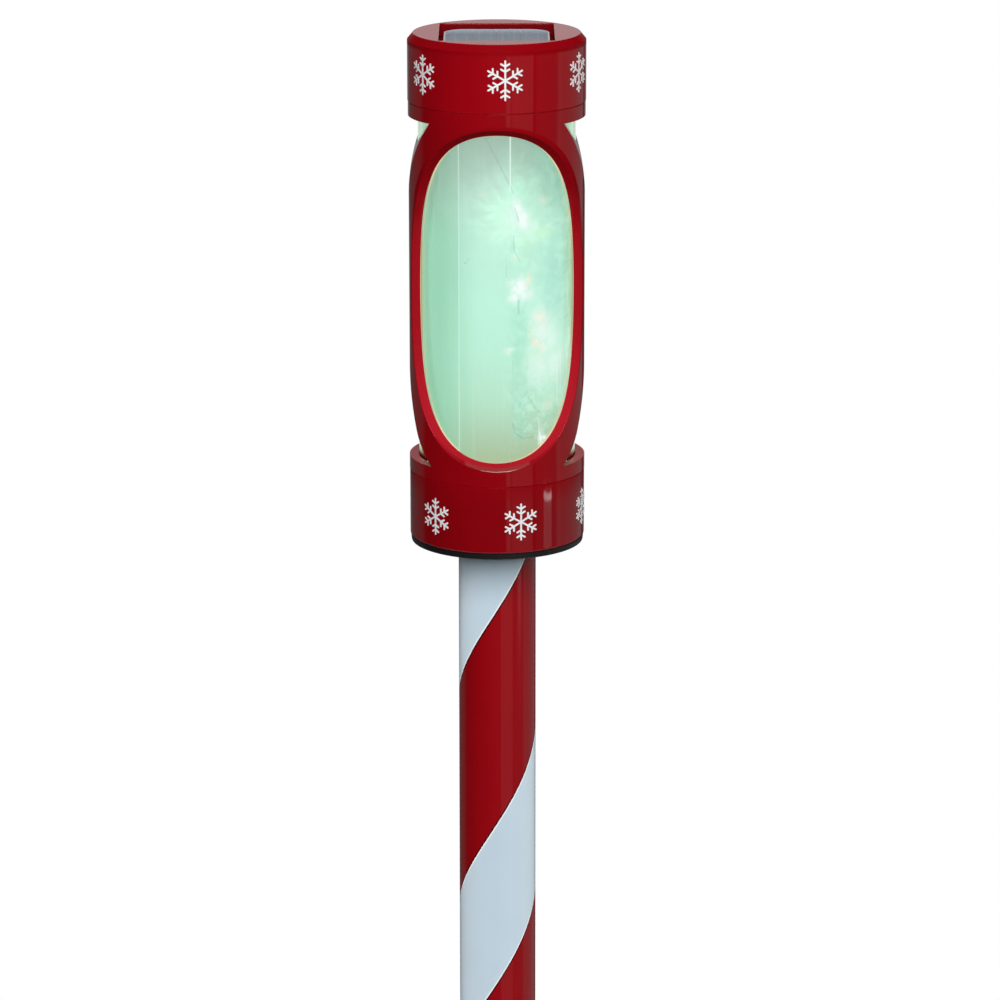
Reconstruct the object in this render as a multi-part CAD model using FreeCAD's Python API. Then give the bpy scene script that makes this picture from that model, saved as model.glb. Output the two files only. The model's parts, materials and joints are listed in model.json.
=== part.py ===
import FreeCAD, Part
import math
import os
from FreeCAD import Vector

# Solar stake light: a red lantern head on a striped pole, held in the ground by a stake.
# Millimetres, +Z up, origin on the pole's axis at ground level, front towards -Y.

os.makedirs("parts", exist_ok=True)

# Shared clearances
overrun = 1.0
edge_break = 0.3
push_clearance = 0.3
seat_clearance = 0.2
running_clearance = 0.05

# Heights of the head, from the underside of its base plate
head_base_z = 400.0
plate_rim_height = 2.7
collar_height = 31.0
cage_height = 169.1
cap_height = 30.4

collar_base_z = head_base_z + plate_rim_height
low_seam_z = collar_base_z + collar_height
high_seam_z = low_seam_z + cage_height
top_z = high_seam_z + cap_height

# Cage, whose radius the other radii of the head follow
cage_radius = 39.8
cage_wall = 4.1
lens_fit = 0.3
lip_reach = 1.2
lip_thickness = 1.8
upper_ring_height = 6.5
lower_ring_height = 6.5
cage_inner_radius = cage_radius - cage_wall
lens_radius = cage_inner_radius - lens_fit
lip_inner_radius = lens_radius - lip_reach
cage_mid_z = (low_seam_z + high_seam_z) / 2

# Windows in the cage
window_half_angle = 74.9
window_squareness = 2.15
window_end_margin = 7.35
window_flare = 2.9
window_points = 40
window_tip_share = 3.0
window_edge_round = 0.5
window_outer_half_height = cage_height / 2 - window_end_margin
window_inner_half_height = window_outer_half_height - window_flare

# Bowed sides of the cage
bow_inset = 0.3
bow_length = 41.3
bow_radius = 68.0
foot_bow_length = 50.0
foot_bow_radius = 135.0
foot_turn_length = 20.9
foot_turn_radius = 36.0
bow_half_width = cage_radius - bow_inset
bow_straight_half = cage_height / 2 - bow_length
foot_straight_half = cage_height / 2 - foot_bow_length
foot_turn_rise = cage_height / 2 - foot_turn_length

# Cap
cap_step = 0.2
cap_radius = cage_radius + cap_step
cap_wall = 2.2
cap_top_wall = 3.0
chamfer_run = 2.6
chamfer_drop = 3.1
cap_inner_radius = cap_radius - cap_wall

# Solar panel and its recess
recess_rim = 3.62
panel_gap = 2.15
panel_corner = 9.5
panel_thickness = 2.6
pad_thickness = 0.8
pad_margin = 3.0
recess_side = (cap_radius - recess_rim) * math.sqrt(2)
panel_side = recess_side - panel_gap * 2
recess_depth = 2.4
pocket_floor = 1.8
pocket_wall = 1.8
pocket_floor_z = top_z - recess_depth - panel_thickness - pad_thickness
pocket_underside_z = pocket_floor_z - pocket_floor
panel_base_z = pocket_floor_z + pad_thickness
panel_top_z = panel_base_z + panel_thickness

# Solar cells, set flush in the panel's face
cell_count = 4
cell_margin = 2.6
cell_gap = 0.7
cell_thickness = 0.3

# Lower collar
collar_step = 0.1
collar_wall = 2.2
collar_deck = 2.2
collar_edge_round = 1.2
collar_radius = cage_radius - collar_step
collar_inner_radius = collar_radius - collar_wall
deck_underside_z = low_seam_z - collar_deck

# Weld tongue between collar and cage
tongue_inset = 1.1
tongue_radius = collar_radius - tongue_inset
tongue_width = 1.2
tongue_height = 2.4

# Lens tube and the films in it
lens_wall = 1.6
lens_bore_radius = lens_radius - lens_wall
film_room = 0.8
film_start_radius = lens_bore_radius - film_room
film_thickness = 0.25
film_growth = 0.35
film_start_angle = 9.5
film_overlap_angle = 38.0
film_top_gap = 4.7
film_points = 60

# Crumpled film: a folded strip, drawn as a zigzag in plan
fold_count = 5
fold_pitch = 5.2
fold_depth = 11.0
fold_thickness = 0.3
fold_start_x = -7.0
fold_middle_y = -2.0
fold_top_gap = 29.1
fold_height = cage_height - fold_top_gap

# Reflector on the deck
reflector_thickness = 1.2
reflector_gap = 0.2

# Black base plate and pole socket
plate_step = 0.3
plate_taper = 0.3
plate_floor = 2.4
plate_edge_round = 0.5
plate_spigot_height = 3.0
plate_spigot_wall = 2.0
plate_top_radius = collar_radius - plate_step
plate_foot_radius = plate_top_radius - plate_taper
plate_spigot_radius = collar_inner_radius - seat_clearance
socket_wall = 2.2
socket_ceiling = 2.4
socket_head_gap = 3.1
socket_mouth_chamfer = 0.6

# Pole
pole_radius = 17.7
pole_wall = 1.2
pole_bore_radius = pole_radius - pole_wall
pole_top_z = deck_underside_z - socket_head_gap - socket_ceiling
socket_radius = pole_radius + push_clearance
socket_outer_radius = socket_radius + socket_wall

# Base screws, midway between the socket and the plate's spigot
base_screw_circle = (socket_outer_radius + plate_spigot_radius - plate_spigot_wall) / 2
base_screw_count = 4
screw_start_angle = 45.0
base_screw_radius = 1.5
base_screw_head_radius = 2.8
base_screw_head_height = 1.4
base_screw_length = 14.0
boss_wall = 2.1

# Carrier plate that closes the cap
cover_thickness = 2.0
cover_fit = 0.2
cover_radius = cap_inner_radius - cover_fit
cover_top_z = high_seam_z + cover_thickness
spigot_fit = 0.8
spigot_wall = 1.6
spigot_depth = 4.0
spigot_radius = lens_bore_radius - spigot_fit
spigot_inner_radius = spigot_radius - spigot_wall
seal_inset = 1.0
seal_inner_radius = lens_radius - seal_inset
seal_width = 1.6
seal_thickness = 1.2
seal_outer_radius = seal_inner_radius + seal_width

# Cover screws, on the three sides that the battery trough leaves free
cover_screw_angles = (0.0, 180.0, 270.0)
cover_screw_radius = 1.2
cover_screw_head_radius = 2.2
cover_screw_head_height = 1.2
cover_screw_length = 12.0
cover_screw_inset = 1.7
cap_boss_radius = 3.0
cover_screw_circle = spigot_inner_radius - cover_screw_head_radius - cover_screw_inset

# Screw driver cross, shared by all screws
cross_width = 0.5
cross_depth = 0.6
cross_reach_share = 0.6

# LED and its sleeve
led_radius = 2.5
led_length = 8.6
led_flange_radius = 2.9
led_flange_height = 1.0
led_leg_radius = 0.3
led_leg_pitch = 2.54
led_leg_proud = 0.8
led_fit = 0.1
holder_wall = 1.4
holder_drop = 2.0
holder_mouth_depth = 4.0
holder_radius = led_flange_radius + holder_wall

# Battery contacts
contact_thickness = 0.4
contact_width = 8.0
contact_height = 9.0
contact_spring_reach = 2.7
contact_spring_inset = 1.0

# Battery and its trough, which is as long as the spigot lets its door swing
hinge_radius = 1.5
hinge_setback = 1.5
hinge_holder_gap = 0.7
battery_radius = 5.25
battery_nub_radius = 1.9
battery_nub_length = 0.9
battery_nub_gap = 0.1
battery_edge_round = 0.6
battery_side_room = 0.55
trough_wall = 1.5
trough_end_room = 0.38
trough_headroom = 0.6
trough_near_y = holder_radius + hinge_holder_gap + hinge_radius + hinge_setback
trough_width = (battery_radius + battery_side_room) * 2
trough_middle_y = trough_near_y + trough_width / 2
trough_far_y = trough_near_y + trough_width
trough_length = math.sqrt((spigot_inner_radius - trough_end_room) ** 2 - trough_far_y ** 2) * 2
battery_length = (trough_length - contact_thickness * 2 - contact_spring_reach
                  - battery_nub_gap - battery_nub_length)

# Battery door and hinge
door_thickness = 1.6
door_gap = 0.4
door_corner = 1.5
door_battery_gap = 0.6
hinge_drop = 1.3
hinge_length = 24.0
hinge_relief = 0.3
hinge_end_gap = 0.2
ear_thickness = 1.6
pin_radius = 0.6
pin_head_radius = 1.0
pin_head_length = 0.6
door_half_length = trough_length / 2 - door_gap
door_near_y = trough_near_y + door_gap
door_far_y = trough_far_y - door_gap
door_top_z = high_seam_z + door_thickness
hinge_y = trough_near_y - hinge_setback
hinge_z = high_seam_z - hinge_drop
battery_axis_z = door_top_z + door_battery_gap + battery_radius
trough_ceiling_z = battery_axis_z + battery_radius + trough_headroom

# Circuit board on its posts
board_boss_gap = 2.0
board_far_gap = 1.0
board_near_gap = 2.5
board_thickness = 1.6
board_width = (cover_screw_circle - cap_boss_radius - board_boss_gap) * 2
board_near_y = trough_near_y - trough_wall - board_near_gap
board_far_y = cap_boss_radius + board_far_gap - cover_screw_circle
post_height = 5.3
post_radius = 2.4
post_inset = 3.5
post_x = board_width / 2 - post_inset
post_y = board_far_y + post_inset
board_base_z = cover_top_z + post_height
board_top_z = board_base_z + board_thickness
board_screw_radius = 1.0
board_screw_head_radius = 1.9
board_screw_head_height = 1.2
board_screw_length = 6.0

# Chip and coil on the board
chip_length = 5.0
chip_width = 4.0
chip_height = 1.5
chip_x = 7.0
chip_far_gap = 10.5
chip_y = board_far_y + chip_far_gap
coil_radius = 3.0
coil_waist = 2.2
coil_height = 5.0
coil_flange = 0.8
coil_x = -3.0
coil_far_gap = 6.5
coil_y = board_far_y + coil_far_gap

# Lead hole through pad and pocket floor
lead_hole_radius = 3.4
lead_hole_x = -11.0
lead_hole_far_gap = 9.5
lead_hole_y = board_far_y + lead_hole_far_gap

# Slide switch, midway between the LED's sleeve and a screw boss
switch_x = (holder_radius + cover_screw_circle - cap_boss_radius) / 2
switch_y = 0.0
switch_length = 8.6
switch_width = 4.4
switch_height = 4.0
switch_wall = 0.6
switch_travel = 4.0
slider_length = 3.4
slider_height = 1.6
slider_gap = 0.2
stem_length = 1.8
stem_width = 1.8
stem_gap = 0.25
knob_drop = 1.6

# Wires
wire_radius = 0.6
lead_pitch = 4.0
lead_bend_shares = (0.4, 0.6)
lead_sag_share = 0.75
lead_dip_share = 0.33
bend_share = 0.45

# Ground stake
flange_reach = 7.3
flange_radius = pole_radius + flange_reach
flange_height = 4.0
flange_edge_round = 1.2
plug_length = 50.0
plug_wall = 2.2
plug_lead_in = 1.5
neck_radius = 11.0
neck_length = 30.0
stake_length = 130.0
blade_thickness = 3.0
blade_inset = 0.4
stake_tip_radius = 1.0
blade_shoulder_share = 0.35

# Snowflakes
upper_flake_radius = 9.0
lower_flake_radius = 8.6
flake_bar = 0.82
flake_height = 0.2
flake_arms = 6
flake_branch_at_shares = (0.44, 0.70)
flake_branch_share = 0.235
flake_branch_angle = 60.0
flakes_per_row = 6
upper_flake_offset = 5.4
lower_flake_offset = 15.7
upper_flake_shift = 0.3
lower_flake_shift = 0.7
upper_flake_z = top_z - cap_height / 2 - upper_flake_shift
lower_flake_z = collar_base_z + collar_height / 2 - lower_flake_shift

origin = Vector(0, 0, 0)
x_axis = Vector(1, 0, 0)
y_axis = Vector(0, 1, 0)
z_axis = Vector(0, 0, 1)
full_turn = 360.0


def save(name, shape):
    """Write one node, after a test of its solids."""
    if not shape.Solids:
        raise ValueError(name + " has no solid")
    for solid in shape.Solids:
        if not solid.isValid() or solid.Volume <= 0:
            raise ValueError(name + " has a bad solid")
    shape.exportStep("parts/" + name + ".step")
    box = shape.BoundBox
    print(name, len(shape.Solids), round(shape.Volume, 1), round(box.ZMin, 2), round(box.ZMax, 2))


def group(solids):
    """Several separate solids as one node."""
    return Part.makeCompound([piece for solid in solids for piece in solid.Solids])


def disc(radius, low, high, x=0, y=0):
    """A cylinder between two heights."""
    return Part.makeCylinder(radius, high - low, Vector(x, y, low), z_axis)


def ring(outer, inner, low, high):
    """A plain ring round the axis."""
    return disc(outer, low, high).cut(disc(inner, low - overrun, high + overrun))


def rod_x(radius, start, end, y, z):
    """A cylinder along X."""
    return Part.makeCylinder(radius, end - start, Vector(start, y, z), x_axis)


def block(x_range, y_range, z_range):
    """A box between three pairs of limits."""
    size = [high - low for low, high in (x_range, y_range, z_range)]
    return Part.makeBox(size[0], size[1], size[2], Vector(x_range[0], y_range[0], z_range[0]))


def revolve(outline):
    """A solid of revolution from (radius, height) points."""
    points = [Vector(radius, 0, height) for radius, height in outline]
    face = Part.Face(Part.makePolygon(points + points[:1]))
    return face.revolve(origin, z_axis, full_turn)


def circle_places(radius, count, start_angle=0):
    """Points spaced evenly round the axis."""
    for index in range(count):
        angle = math.radians(start_angle + full_turn * index / count)
        yield radius * math.cos(angle), radius * math.sin(angle)


def round_edges(solid, radius, test):
    """Round the edges that pass the test."""
    edges = [edge for edge in solid.Edges if test(edge)]
    return solid.makeFillet(radius, edges)


def cover_screw_places():
    """Places of the cover's screws round the axis."""
    for degrees in cover_screw_angles:
        angle = math.radians(degrees)
        yield cover_screw_circle * math.cos(angle), cover_screw_circle * math.sin(angle)


def is_circle(edge, radius, height):
    """Whether an edge is the circle of that radius at that height."""
    curve = edge.Curve
    if not isinstance(curve, Part.Circle):
        return False
    same_radius = abs(curve.Radius - radius) < running_clearance
    return same_radius and abs(curve.Center.z - height) < running_clearance


def cross_recess(head_radius, face_z, upwards, x, y):
    """The cross that a driver fits, cut from a screw's head."""
    reach = head_radius * cross_reach_share
    low = face_z - (cross_depth if upwards else overrun)
    high = face_z + (overrun if upwards else cross_depth)
    half = cross_width / 2
    along = block((x - reach, x + reach), (y - half, y + half), (low, high))
    across = block((x - half, x + half), (y - reach, y + reach), (low, high))
    return along.fuse(across)


def screw_up(radius, head_radius, head_height, length, head_z, x, y):
    """A screw driven upwards, its head's face at head_z."""
    head = disc(head_radius, head_z, head_z + head_height, x, y)
    shank = disc(radius, head_z, head_z + head_height + length, x, y)
    return head.fuse(shank).removeSplitter().cut(cross_recess(head_radius, head_z, False, x, y))


def screw_down(radius, head_radius, head_height, length, seat_z, x, y):
    """A screw driven downwards, its head resting at seat_z."""
    head_top = seat_z + head_height
    head = disc(head_radius, seat_z, head_top, x, y)
    shank = disc(radius, seat_z - length, head_top, x, y)
    return head.fuse(shank).removeSplitter().cut(cross_recess(head_radius, head_top, True, x, y))


def wire_route(places):
    """Straight runs joined by tangent arcs through a list of places."""
    edges = []
    start = places[0]
    for before, corner, after in zip(places, places[1:], places[2:]):
        way_in = (corner - before).normalize()
        way_out = (after - corner).normalize()
        half_turn = way_in.getAngle(way_out) / 2
        shorter = min((corner - before).Length, (after - corner).Length)
        tangent = bend_share * shorter
        radius = tangent / math.tan(half_turn)
        inward = (way_out - way_in).normalize()
        middle = corner + inward * (radius / math.cos(half_turn) - radius)
        first = corner - way_in * tangent
        last = corner + way_out * tangent
        edges.append(Part.LineSegment(start, first).toShape())
        edges.append(Part.Arc(first, middle, last).toShape())
        start = last
    edges.append(Part.LineSegment(start, places[-1]).toShape())
    return Part.Wire(edges)


def wire_solid(places):
    """A round wire along a route."""
    direction = places[1] - places[0]
    section = Part.Wire(Part.makeCircle(wire_radius, places[0], direction))
    return wire_route(places).makePipeShell([section], True, False)


def rounded_square(side, corner, low, high):
    """A square plate with round corners."""
    half = side / 2
    plate = block((-half, half), (-half, half), (low, high))
    return round_edges(plate, corner, lambda edge: edge.BoundBox.ZLength > (high - low) / 2)


def solar_cap():
    """Cap shell, with the panel's pocket sunk into its top."""
    inner_top_z = top_z - cap_top_wall
    shell = revolve([
        (0, top_z),
        (cap_radius - chamfer_run, top_z),
        (cap_radius, top_z - chamfer_drop),
        (cap_radius, high_seam_z + edge_break),
        (cap_radius - edge_break, high_seam_z),
        (cap_inner_radius, high_seam_z),
        (cap_inner_radius, inner_top_z),
        (0, inner_top_z),
    ])
    tub_half = recess_side / 2 + pocket_wall
    tub = block((-tub_half, tub_half), (-tub_half, tub_half), (pocket_underside_z, inner_top_z + edge_break))
    tub = tub.common(disc(cap_inner_radius + edge_break, pocket_underside_z, inner_top_z + edge_break))
    bosses = [disc(cap_boss_radius, cover_top_z, inner_top_z + edge_break, x, y)
              for x, y in cover_screw_places()]
    solid = shell.fuse([tub] + bosses).removeSplitter()
    recess_half = recess_side / 2
    recess = block((-recess_half, recess_half), (-recess_half, recess_half), (pocket_floor_z, top_z + overrun))
    pilots = [disc(cover_screw_radius, cover_top_z - overrun, cover_screw_tip_z() + edge_break, x, y)
              for x, y in cover_screw_places()]
    lead_hole = disc(lead_hole_radius, pocket_underside_z - overrun, pocket_floor_z + overrun,
                     lead_hole_x, lead_hole_y)
    return solid.cut([recess, lead_hole] + pilots)


def cover_screw_tip_z():
    """Height that the cover screws reach."""
    return high_seam_z + cover_screw_head_height + cover_screw_length


def cell_blocks(low, high):
    """The cell strips' outlines between two heights, round at the field's corners."""
    field = panel_side - cell_margin * 2
    bounds = rounded_square(field, panel_corner - cell_margin, low, high)
    width = (field - cell_gap * (cell_count - 1)) / cell_count
    for index in range(cell_count):
        left = -field / 2 + (width + cell_gap) * index
        strip = block((left, left + width), (-field / 2, field / 2), (low, high))
        yield strip.common(bounds).Solids[0]


def solar_panel():
    """Panel board with shallow beds for the cells."""
    plate = rounded_square(panel_side, panel_corner, panel_base_z, panel_top_z)
    return plate.cut(list(cell_blocks(panel_top_z - cell_thickness, panel_top_z + overrun)))


def solar_cells():
    """Cell strips, flush with the panel's face."""
    return group(list(cell_blocks(panel_top_z - cell_thickness, panel_top_z)))


def panel_pad():
    """Foam pad under the panel, open at the lead hole."""
    side = panel_side - pad_margin
    pad = rounded_square(side, panel_corner, pocket_floor_z, panel_base_z)
    hole = disc(lead_hole_radius, pocket_floor_z - overrun, panel_base_z + overrun, lead_hole_x, lead_hole_y)
    return pad.cut(hole)


def trough_block(margin, low, high):
    """The battery trough's plan, grown by a margin."""
    half_length = trough_length / 2 + margin
    half_width = trough_width / 2 + margin
    y_range = (trough_middle_y - half_width, trough_middle_y + half_width)
    return block((-half_length, half_length), y_range, (low, high))


def hinge_ear(side):
    """One of the two ears that hold the door's pin."""
    near = hinge_length / 2 + hinge_end_gap
    start = near if side > 0 else -near - ear_thickness
    barrel = rod_x(hinge_radius, start, start + ear_thickness, hinge_y, hinge_z)
    web = block((start, start + ear_thickness), (hinge_y - hinge_radius, hinge_y + hinge_radius),
                (hinge_z, high_seam_z + edge_break))
    return barrel.fuse(web)


def inner_cover():
    """Carrier plate with spigot, trough, posts and ears."""
    plate = disc(cover_radius, high_seam_z, cover_top_z)
    spigot = ring(spigot_radius, spigot_inner_radius, high_seam_z - spigot_depth,
                  high_seam_z + edge_break)
    trough = trough_block(trough_wall, cover_top_z - edge_break, trough_ceiling_z + trough_wall)
    posts = [disc(post_radius, cover_top_z - edge_break, board_base_z, side * post_x, post_y)
             for side in (-1, 1)]
    ears = [hinge_ear(side) for side in (-1, 1)]
    solid = plate.fuse([spigot, trough] + posts + ears).removeSplitter()
    relief_half = hinge_length / 2 + hinge_end_gap
    relief = rod_x(hinge_radius + hinge_relief, -relief_half, relief_half, hinge_y, hinge_z)
    arm_relief = block((-relief_half, relief_half), (hinge_y, trough_near_y + overrun),
                       (high_seam_z - overrun, hinge_z + hinge_radius + hinge_relief))
    screws = [disc(cover_screw_radius + running_clearance, high_seam_z - overrun, cover_top_z + overrun, x, y)
              for x, y in cover_screw_places()]
    heads = [disc(cover_screw_head_radius + edge_break, high_seam_z - overrun,
                  high_seam_z + cover_screw_head_height, x, y)
             for x, y in cover_screw_places()]
    post_holes = [disc(board_screw_radius, board_base_z - board_screw_length, board_base_z + overrun,
                       side * post_x, post_y) for side in (-1, 1)]
    cuts = [
        trough_block(0, high_seam_z - overrun, trough_ceiling_z),
        relief,
        arm_relief,
        rod_x(pin_radius, -cover_radius, cover_radius, hinge_y, hinge_z).common(hinge_zone()),
        ring(seal_outer_radius, seal_inner_radius, high_seam_z - overrun, high_seam_z + seal_thickness),
        disc(holder_radius, high_seam_z - overrun, cover_top_z + overrun),
        switch_slot(),
    ]
    cuts += [tab_slot(side) for side in (-1, 1)]
    return solid.cut(cuts + screws + heads + post_holes)


def hinge_zone():
    """The stretch that the hinge takes up along X."""
    half = hinge_length / 2 + hinge_end_gap + ear_thickness + overrun
    reach = hinge_radius + overrun
    return block((-half, half), (hinge_y - reach, hinge_y + reach), (hinge_z - reach, hinge_z + reach))


def tab_slot(side):
    """Slot in the trough's ceiling for a contact's tab."""
    inner = trough_length / 2 - contact_thickness
    outer = trough_length / 2
    x_range = (inner, outer) if side > 0 else (-outer, -inner)
    return block(x_range, tab_range(), (trough_ceiling_z - overrun, trough_ceiling_z + trough_wall + overrun))


def tab_range():
    """Width of a contact's tab, across the trough."""
    half = contact_width / 4
    return (trough_middle_y - half, trough_middle_y + half)


def contact_strip(side):
    """The upright strip of a contact, with its tab through the trough's ceiling."""
    inner = trough_length / 2 - contact_thickness
    outer = trough_length / 2
    x_range = (inner, outer) if side > 0 else (-outer, -inner)
    half = contact_width / 2
    strip = block(x_range, (trough_middle_y - half, trough_middle_y + half),
                  (trough_ceiling_z - contact_height, trough_ceiling_z))
    tab = block(x_range, tab_range(), (trough_ceiling_z - edge_break, tab_top_z()))
    return strip.fuse(tab).removeSplitter()


def tab_top_z():
    """Height of the contacts' solder tabs."""
    return trough_ceiling_z + trough_wall * 2


def battery_start_x():
    """The cell's flat end."""
    return trough_length / 2 - contact_thickness - battery_nub_gap - battery_nub_length - battery_length


def battery_cell():
    """The cell with its nub towards +X."""
    start = battery_start_x()
    end = start + battery_length
    body = rod_x(battery_radius, start, end, trough_middle_y, battery_axis_z)
    body = body.makeFillet(battery_edge_round, body.Edges[:1] + body.Edges[2:])
    nub = rod_x(battery_nub_radius, end - edge_break, end + battery_nub_length, trough_middle_y, battery_axis_z)
    return body.fuse(nub)


def contact_spring():
    """Minus contact: the strip and a leaf that bows out to the cell."""
    strip = contact_strip(-1)
    wall_x = -trough_length / 2 + contact_thickness
    touch_x = battery_start_x() - battery_nub_gap
    rise = contact_height / 2 - contact_spring_inset
    outer_arc = Part.Arc(
        Vector(wall_x - contact_thickness / 2, 0, battery_axis_z - rise),
        Vector(touch_x, 0, battery_axis_z),
        Vector(wall_x - contact_thickness / 2, 0, battery_axis_z + rise),
    ).toShape()
    inner_rise = rise - contact_thickness
    inner_arc = Part.Arc(
        Vector(wall_x - contact_thickness / 2, 0, battery_axis_z + inner_rise),
        Vector(touch_x - contact_thickness, 0, battery_axis_z),
        Vector(wall_x - contact_thickness / 2, 0, battery_axis_z - inner_rise),
    ).toShape()
    joins = [
        Part.makeLine(outer_arc.Vertexes[-1].Point, inner_arc.Vertexes[0].Point),
        Part.makeLine(inner_arc.Vertexes[-1].Point, outer_arc.Vertexes[0].Point),
    ]
    face = Part.Face(Part.Wire([outer_arc, joins[0], inner_arc, joins[1]]))
    half = contact_width / 4
    face.translate(Vector(0, trough_middle_y - half, 0))
    leaf = face.extrude(Vector(0, half * 2, 0))
    return strip.fuse(leaf)


def is_door_corner(edge):
    """Whether an edge is one of the door's upright corners away from the hinge."""
    box = edge.BoundBox
    return box.ZLength > door_thickness / 2 and box.YMin > trough_middle_y


def battery_door():
    """Door plate with its arm and hinge barrel."""
    plate = block((-door_half_length, door_half_length), (door_near_y, door_far_y), (high_seam_z, door_top_z))
    plate = round_edges(plate, door_corner, is_door_corner)
    half = hinge_length / 2
    barrel = rod_x(hinge_radius, -half, half, hinge_y, hinge_z)
    arm = block((-half, half), (hinge_y, door_near_y + overrun),
                (hinge_z - hinge_radius / 2, hinge_z + hinge_radius))
    arm = arm.common(rod_x(hinge_radius + hinge_setback + overrun, -half, half, hinge_y, hinge_z))
    bore = rod_x(pin_radius + running_clearance, -half - overrun, half + overrun, hinge_y, hinge_z)
    return plate.fuse([barrel, arm]).removeSplitter().cut(bore)


def door_pin():
    """Hinge pin, headed at one end."""
    end = hinge_length / 2 + hinge_end_gap + ear_thickness
    shank = rod_x(pin_radius, -end, end, hinge_y, hinge_z)
    head = rod_x(pin_head_radius, end, end + pin_head_length, hinge_y, hinge_z)
    return shank.fuse(head)


def circuit_board():
    """Driver board with holes for its screws and the LED's legs."""
    half = board_width / 2
    board = block((-half, half), (board_far_y, board_near_y), (board_base_z, board_top_z))
    holes = [disc(board_screw_radius + running_clearance, board_base_z - overrun, board_top_z + overrun,
                  side * post_x, post_y) for side in (-1, 1)]
    holes += [disc(led_leg_radius, board_base_z - overrun, board_top_z + overrun, side * led_leg_pitch / 2)
              for side in (-1, 1)]
    return board.cut(holes)


def driver_coil():
    """Drum coil on the board."""
    top = board_top_z + coil_height
    drum = revolve([
        (0, board_top_z),
        (coil_radius, board_top_z),
        (coil_radius, board_top_z + coil_flange),
        (coil_waist, board_top_z + coil_flange),
        (coil_waist, top - coil_flange),
        (coil_radius, top - coil_flange),
        (coil_radius, top),
        (0, top),
    ])
    drum.translate(Vector(coil_x, coil_y, 0))
    return drum


def driver_chip():
    """Chip package on the board."""
    return block((chip_x - chip_length / 2, chip_x + chip_length / 2),
                 (chip_y - chip_width / 2, chip_y + chip_width / 2),
                 (board_top_z, board_top_z + chip_height))


def led_base_z():
    """Height of the LED's flange, which sits under the board."""
    return board_base_z - led_flange_height


def led_lamp():
    """LED with dome, flange and two legs."""
    dome_z = led_base_z() + led_flange_height - led_length + led_radius
    dome = Part.makeSphere(led_radius, Vector(0, 0, dome_z))
    body = disc(led_radius, dome_z, led_base_z() + led_flange_height)
    flange = disc(led_flange_radius, led_base_z(), led_base_z() + led_flange_height)
    legs = [disc(led_leg_radius, led_base_z(), board_top_z + led_leg_proud, side * led_leg_pitch / 2)
            for side in (-1, 1)]
    return dome.fuse([body, flange] + legs).removeSplitter()


def led_holder():
    """White sleeve round the LED, from the board to below the cover."""
    low = high_seam_z - holder_drop
    sleeve = disc(holder_radius, low, board_base_z)
    bore = disc(led_radius + led_fit, low - overrun, board_base_z + overrun)
    flange_bed = disc(led_flange_radius + led_fit, led_base_z() - led_fit, board_base_z + overrun)
    mouth = Part.makeCone(holder_radius - edge_break, led_radius + led_fit, holder_mouth_depth,
                          Vector(0, 0, low), z_axis)
    return sleeve.cut([bore, flange_bed, mouth])


def slider_half_width():
    """Half the slider's width inside the switch."""
    return switch_width / 2 - switch_wall - slider_gap


def switch_body():
    """Switch housing, hollow for its slider and open below."""
    half_x = switch_length / 2
    half_y = switch_width / 2
    top = cover_top_z + switch_height
    housing = block((switch_x - half_x, switch_x + half_x), (switch_y - half_y, switch_y + half_y),
                    (cover_top_z, top))
    hollow = block((switch_x - half_x + switch_wall, switch_x + half_x - switch_wall),
                   (switch_y - half_y + switch_wall, switch_y + half_y - switch_wall),
                   (cover_top_z - overrun, top - switch_wall))
    return housing.cut(hollow)


def knob_rest_x():
    """The knob's middle at its off end."""
    return switch_x - switch_travel / 2


def switch_slot():
    """Slot in the cover for the knob's stem."""
    half_x = stem_length / 2 + switch_travel / 2 + stem_gap
    half_y = stem_width / 2 + stem_gap
    return block((switch_x - half_x, switch_x + half_x), (switch_y - half_y, switch_y + half_y),
                 (high_seam_z - overrun, cover_top_z + overrun))


def switch_knob():
    """Slider and stem, at the off end of their travel."""
    middle = knob_rest_x()
    slider_base = cover_top_z + slider_gap
    slider = block((middle - slider_length / 2, middle + slider_length / 2),
                   (switch_y - slider_half_width(), switch_y + slider_half_width()),
                   (slider_base, slider_base + slider_height))
    stem = block((middle - stem_length / 2, middle + stem_length / 2),
                 (switch_y - stem_width / 2, switch_y + stem_width / 2),
                 (high_seam_z - knob_drop, slider_base + edge_break))
    return slider.fuse(stem).removeSplitter()


def panel_leads():
    """Two wires from the panel down to the board."""
    sag = lead_pitch * lead_sag_share
    solids = []
    for side in (-1, 1):
        x = lead_hole_x + side * lead_pitch / 2
        drop = panel_base_z - board_top_z
        solids.append(wire_solid([
            Vector(x, lead_hole_y, panel_base_z),
            Vector(x, lead_hole_y, panel_base_z - drop * lead_bend_shares[0]),
            Vector(x, lead_hole_y + sag, panel_base_z - drop * lead_bend_shares[1]),
            Vector(x, lead_hole_y + sag, board_top_z),
        ]))
    return group(solids)


def battery_leads():
    """Two wires from the contacts' tabs to the board."""
    tab_x = trough_length / 2 - contact_thickness - wire_radius
    start_z = tab_top_z() - wire_radius
    near_y = tab_range()[0] + wire_radius
    drop = start_z - board_top_z
    landing_x = board_width / 2 - lead_pitch / 2
    landing_y = board_near_y - lead_pitch
    solids = []
    for side in (-1, 1):
        solids.append(wire_solid([
            Vector(side * tab_x, near_y, start_z),
            Vector(side * tab_x, board_near_y + lead_pitch / 2, start_z),
            Vector(side * (tab_x + landing_x) / 2, landing_y, start_z),
            Vector(side * landing_x, landing_y - lead_pitch / 2, start_z - drop * lead_dip_share),
            Vector(side * landing_x, landing_y - lead_pitch / 2, board_top_z),
        ]))
    return group(solids)


def squared(value):
    """A sine or cosine, bent so that the oval's shoulders are fuller than an ellipse's."""
    return math.copysign(abs(value) ** (2 / window_squareness), value)


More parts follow.
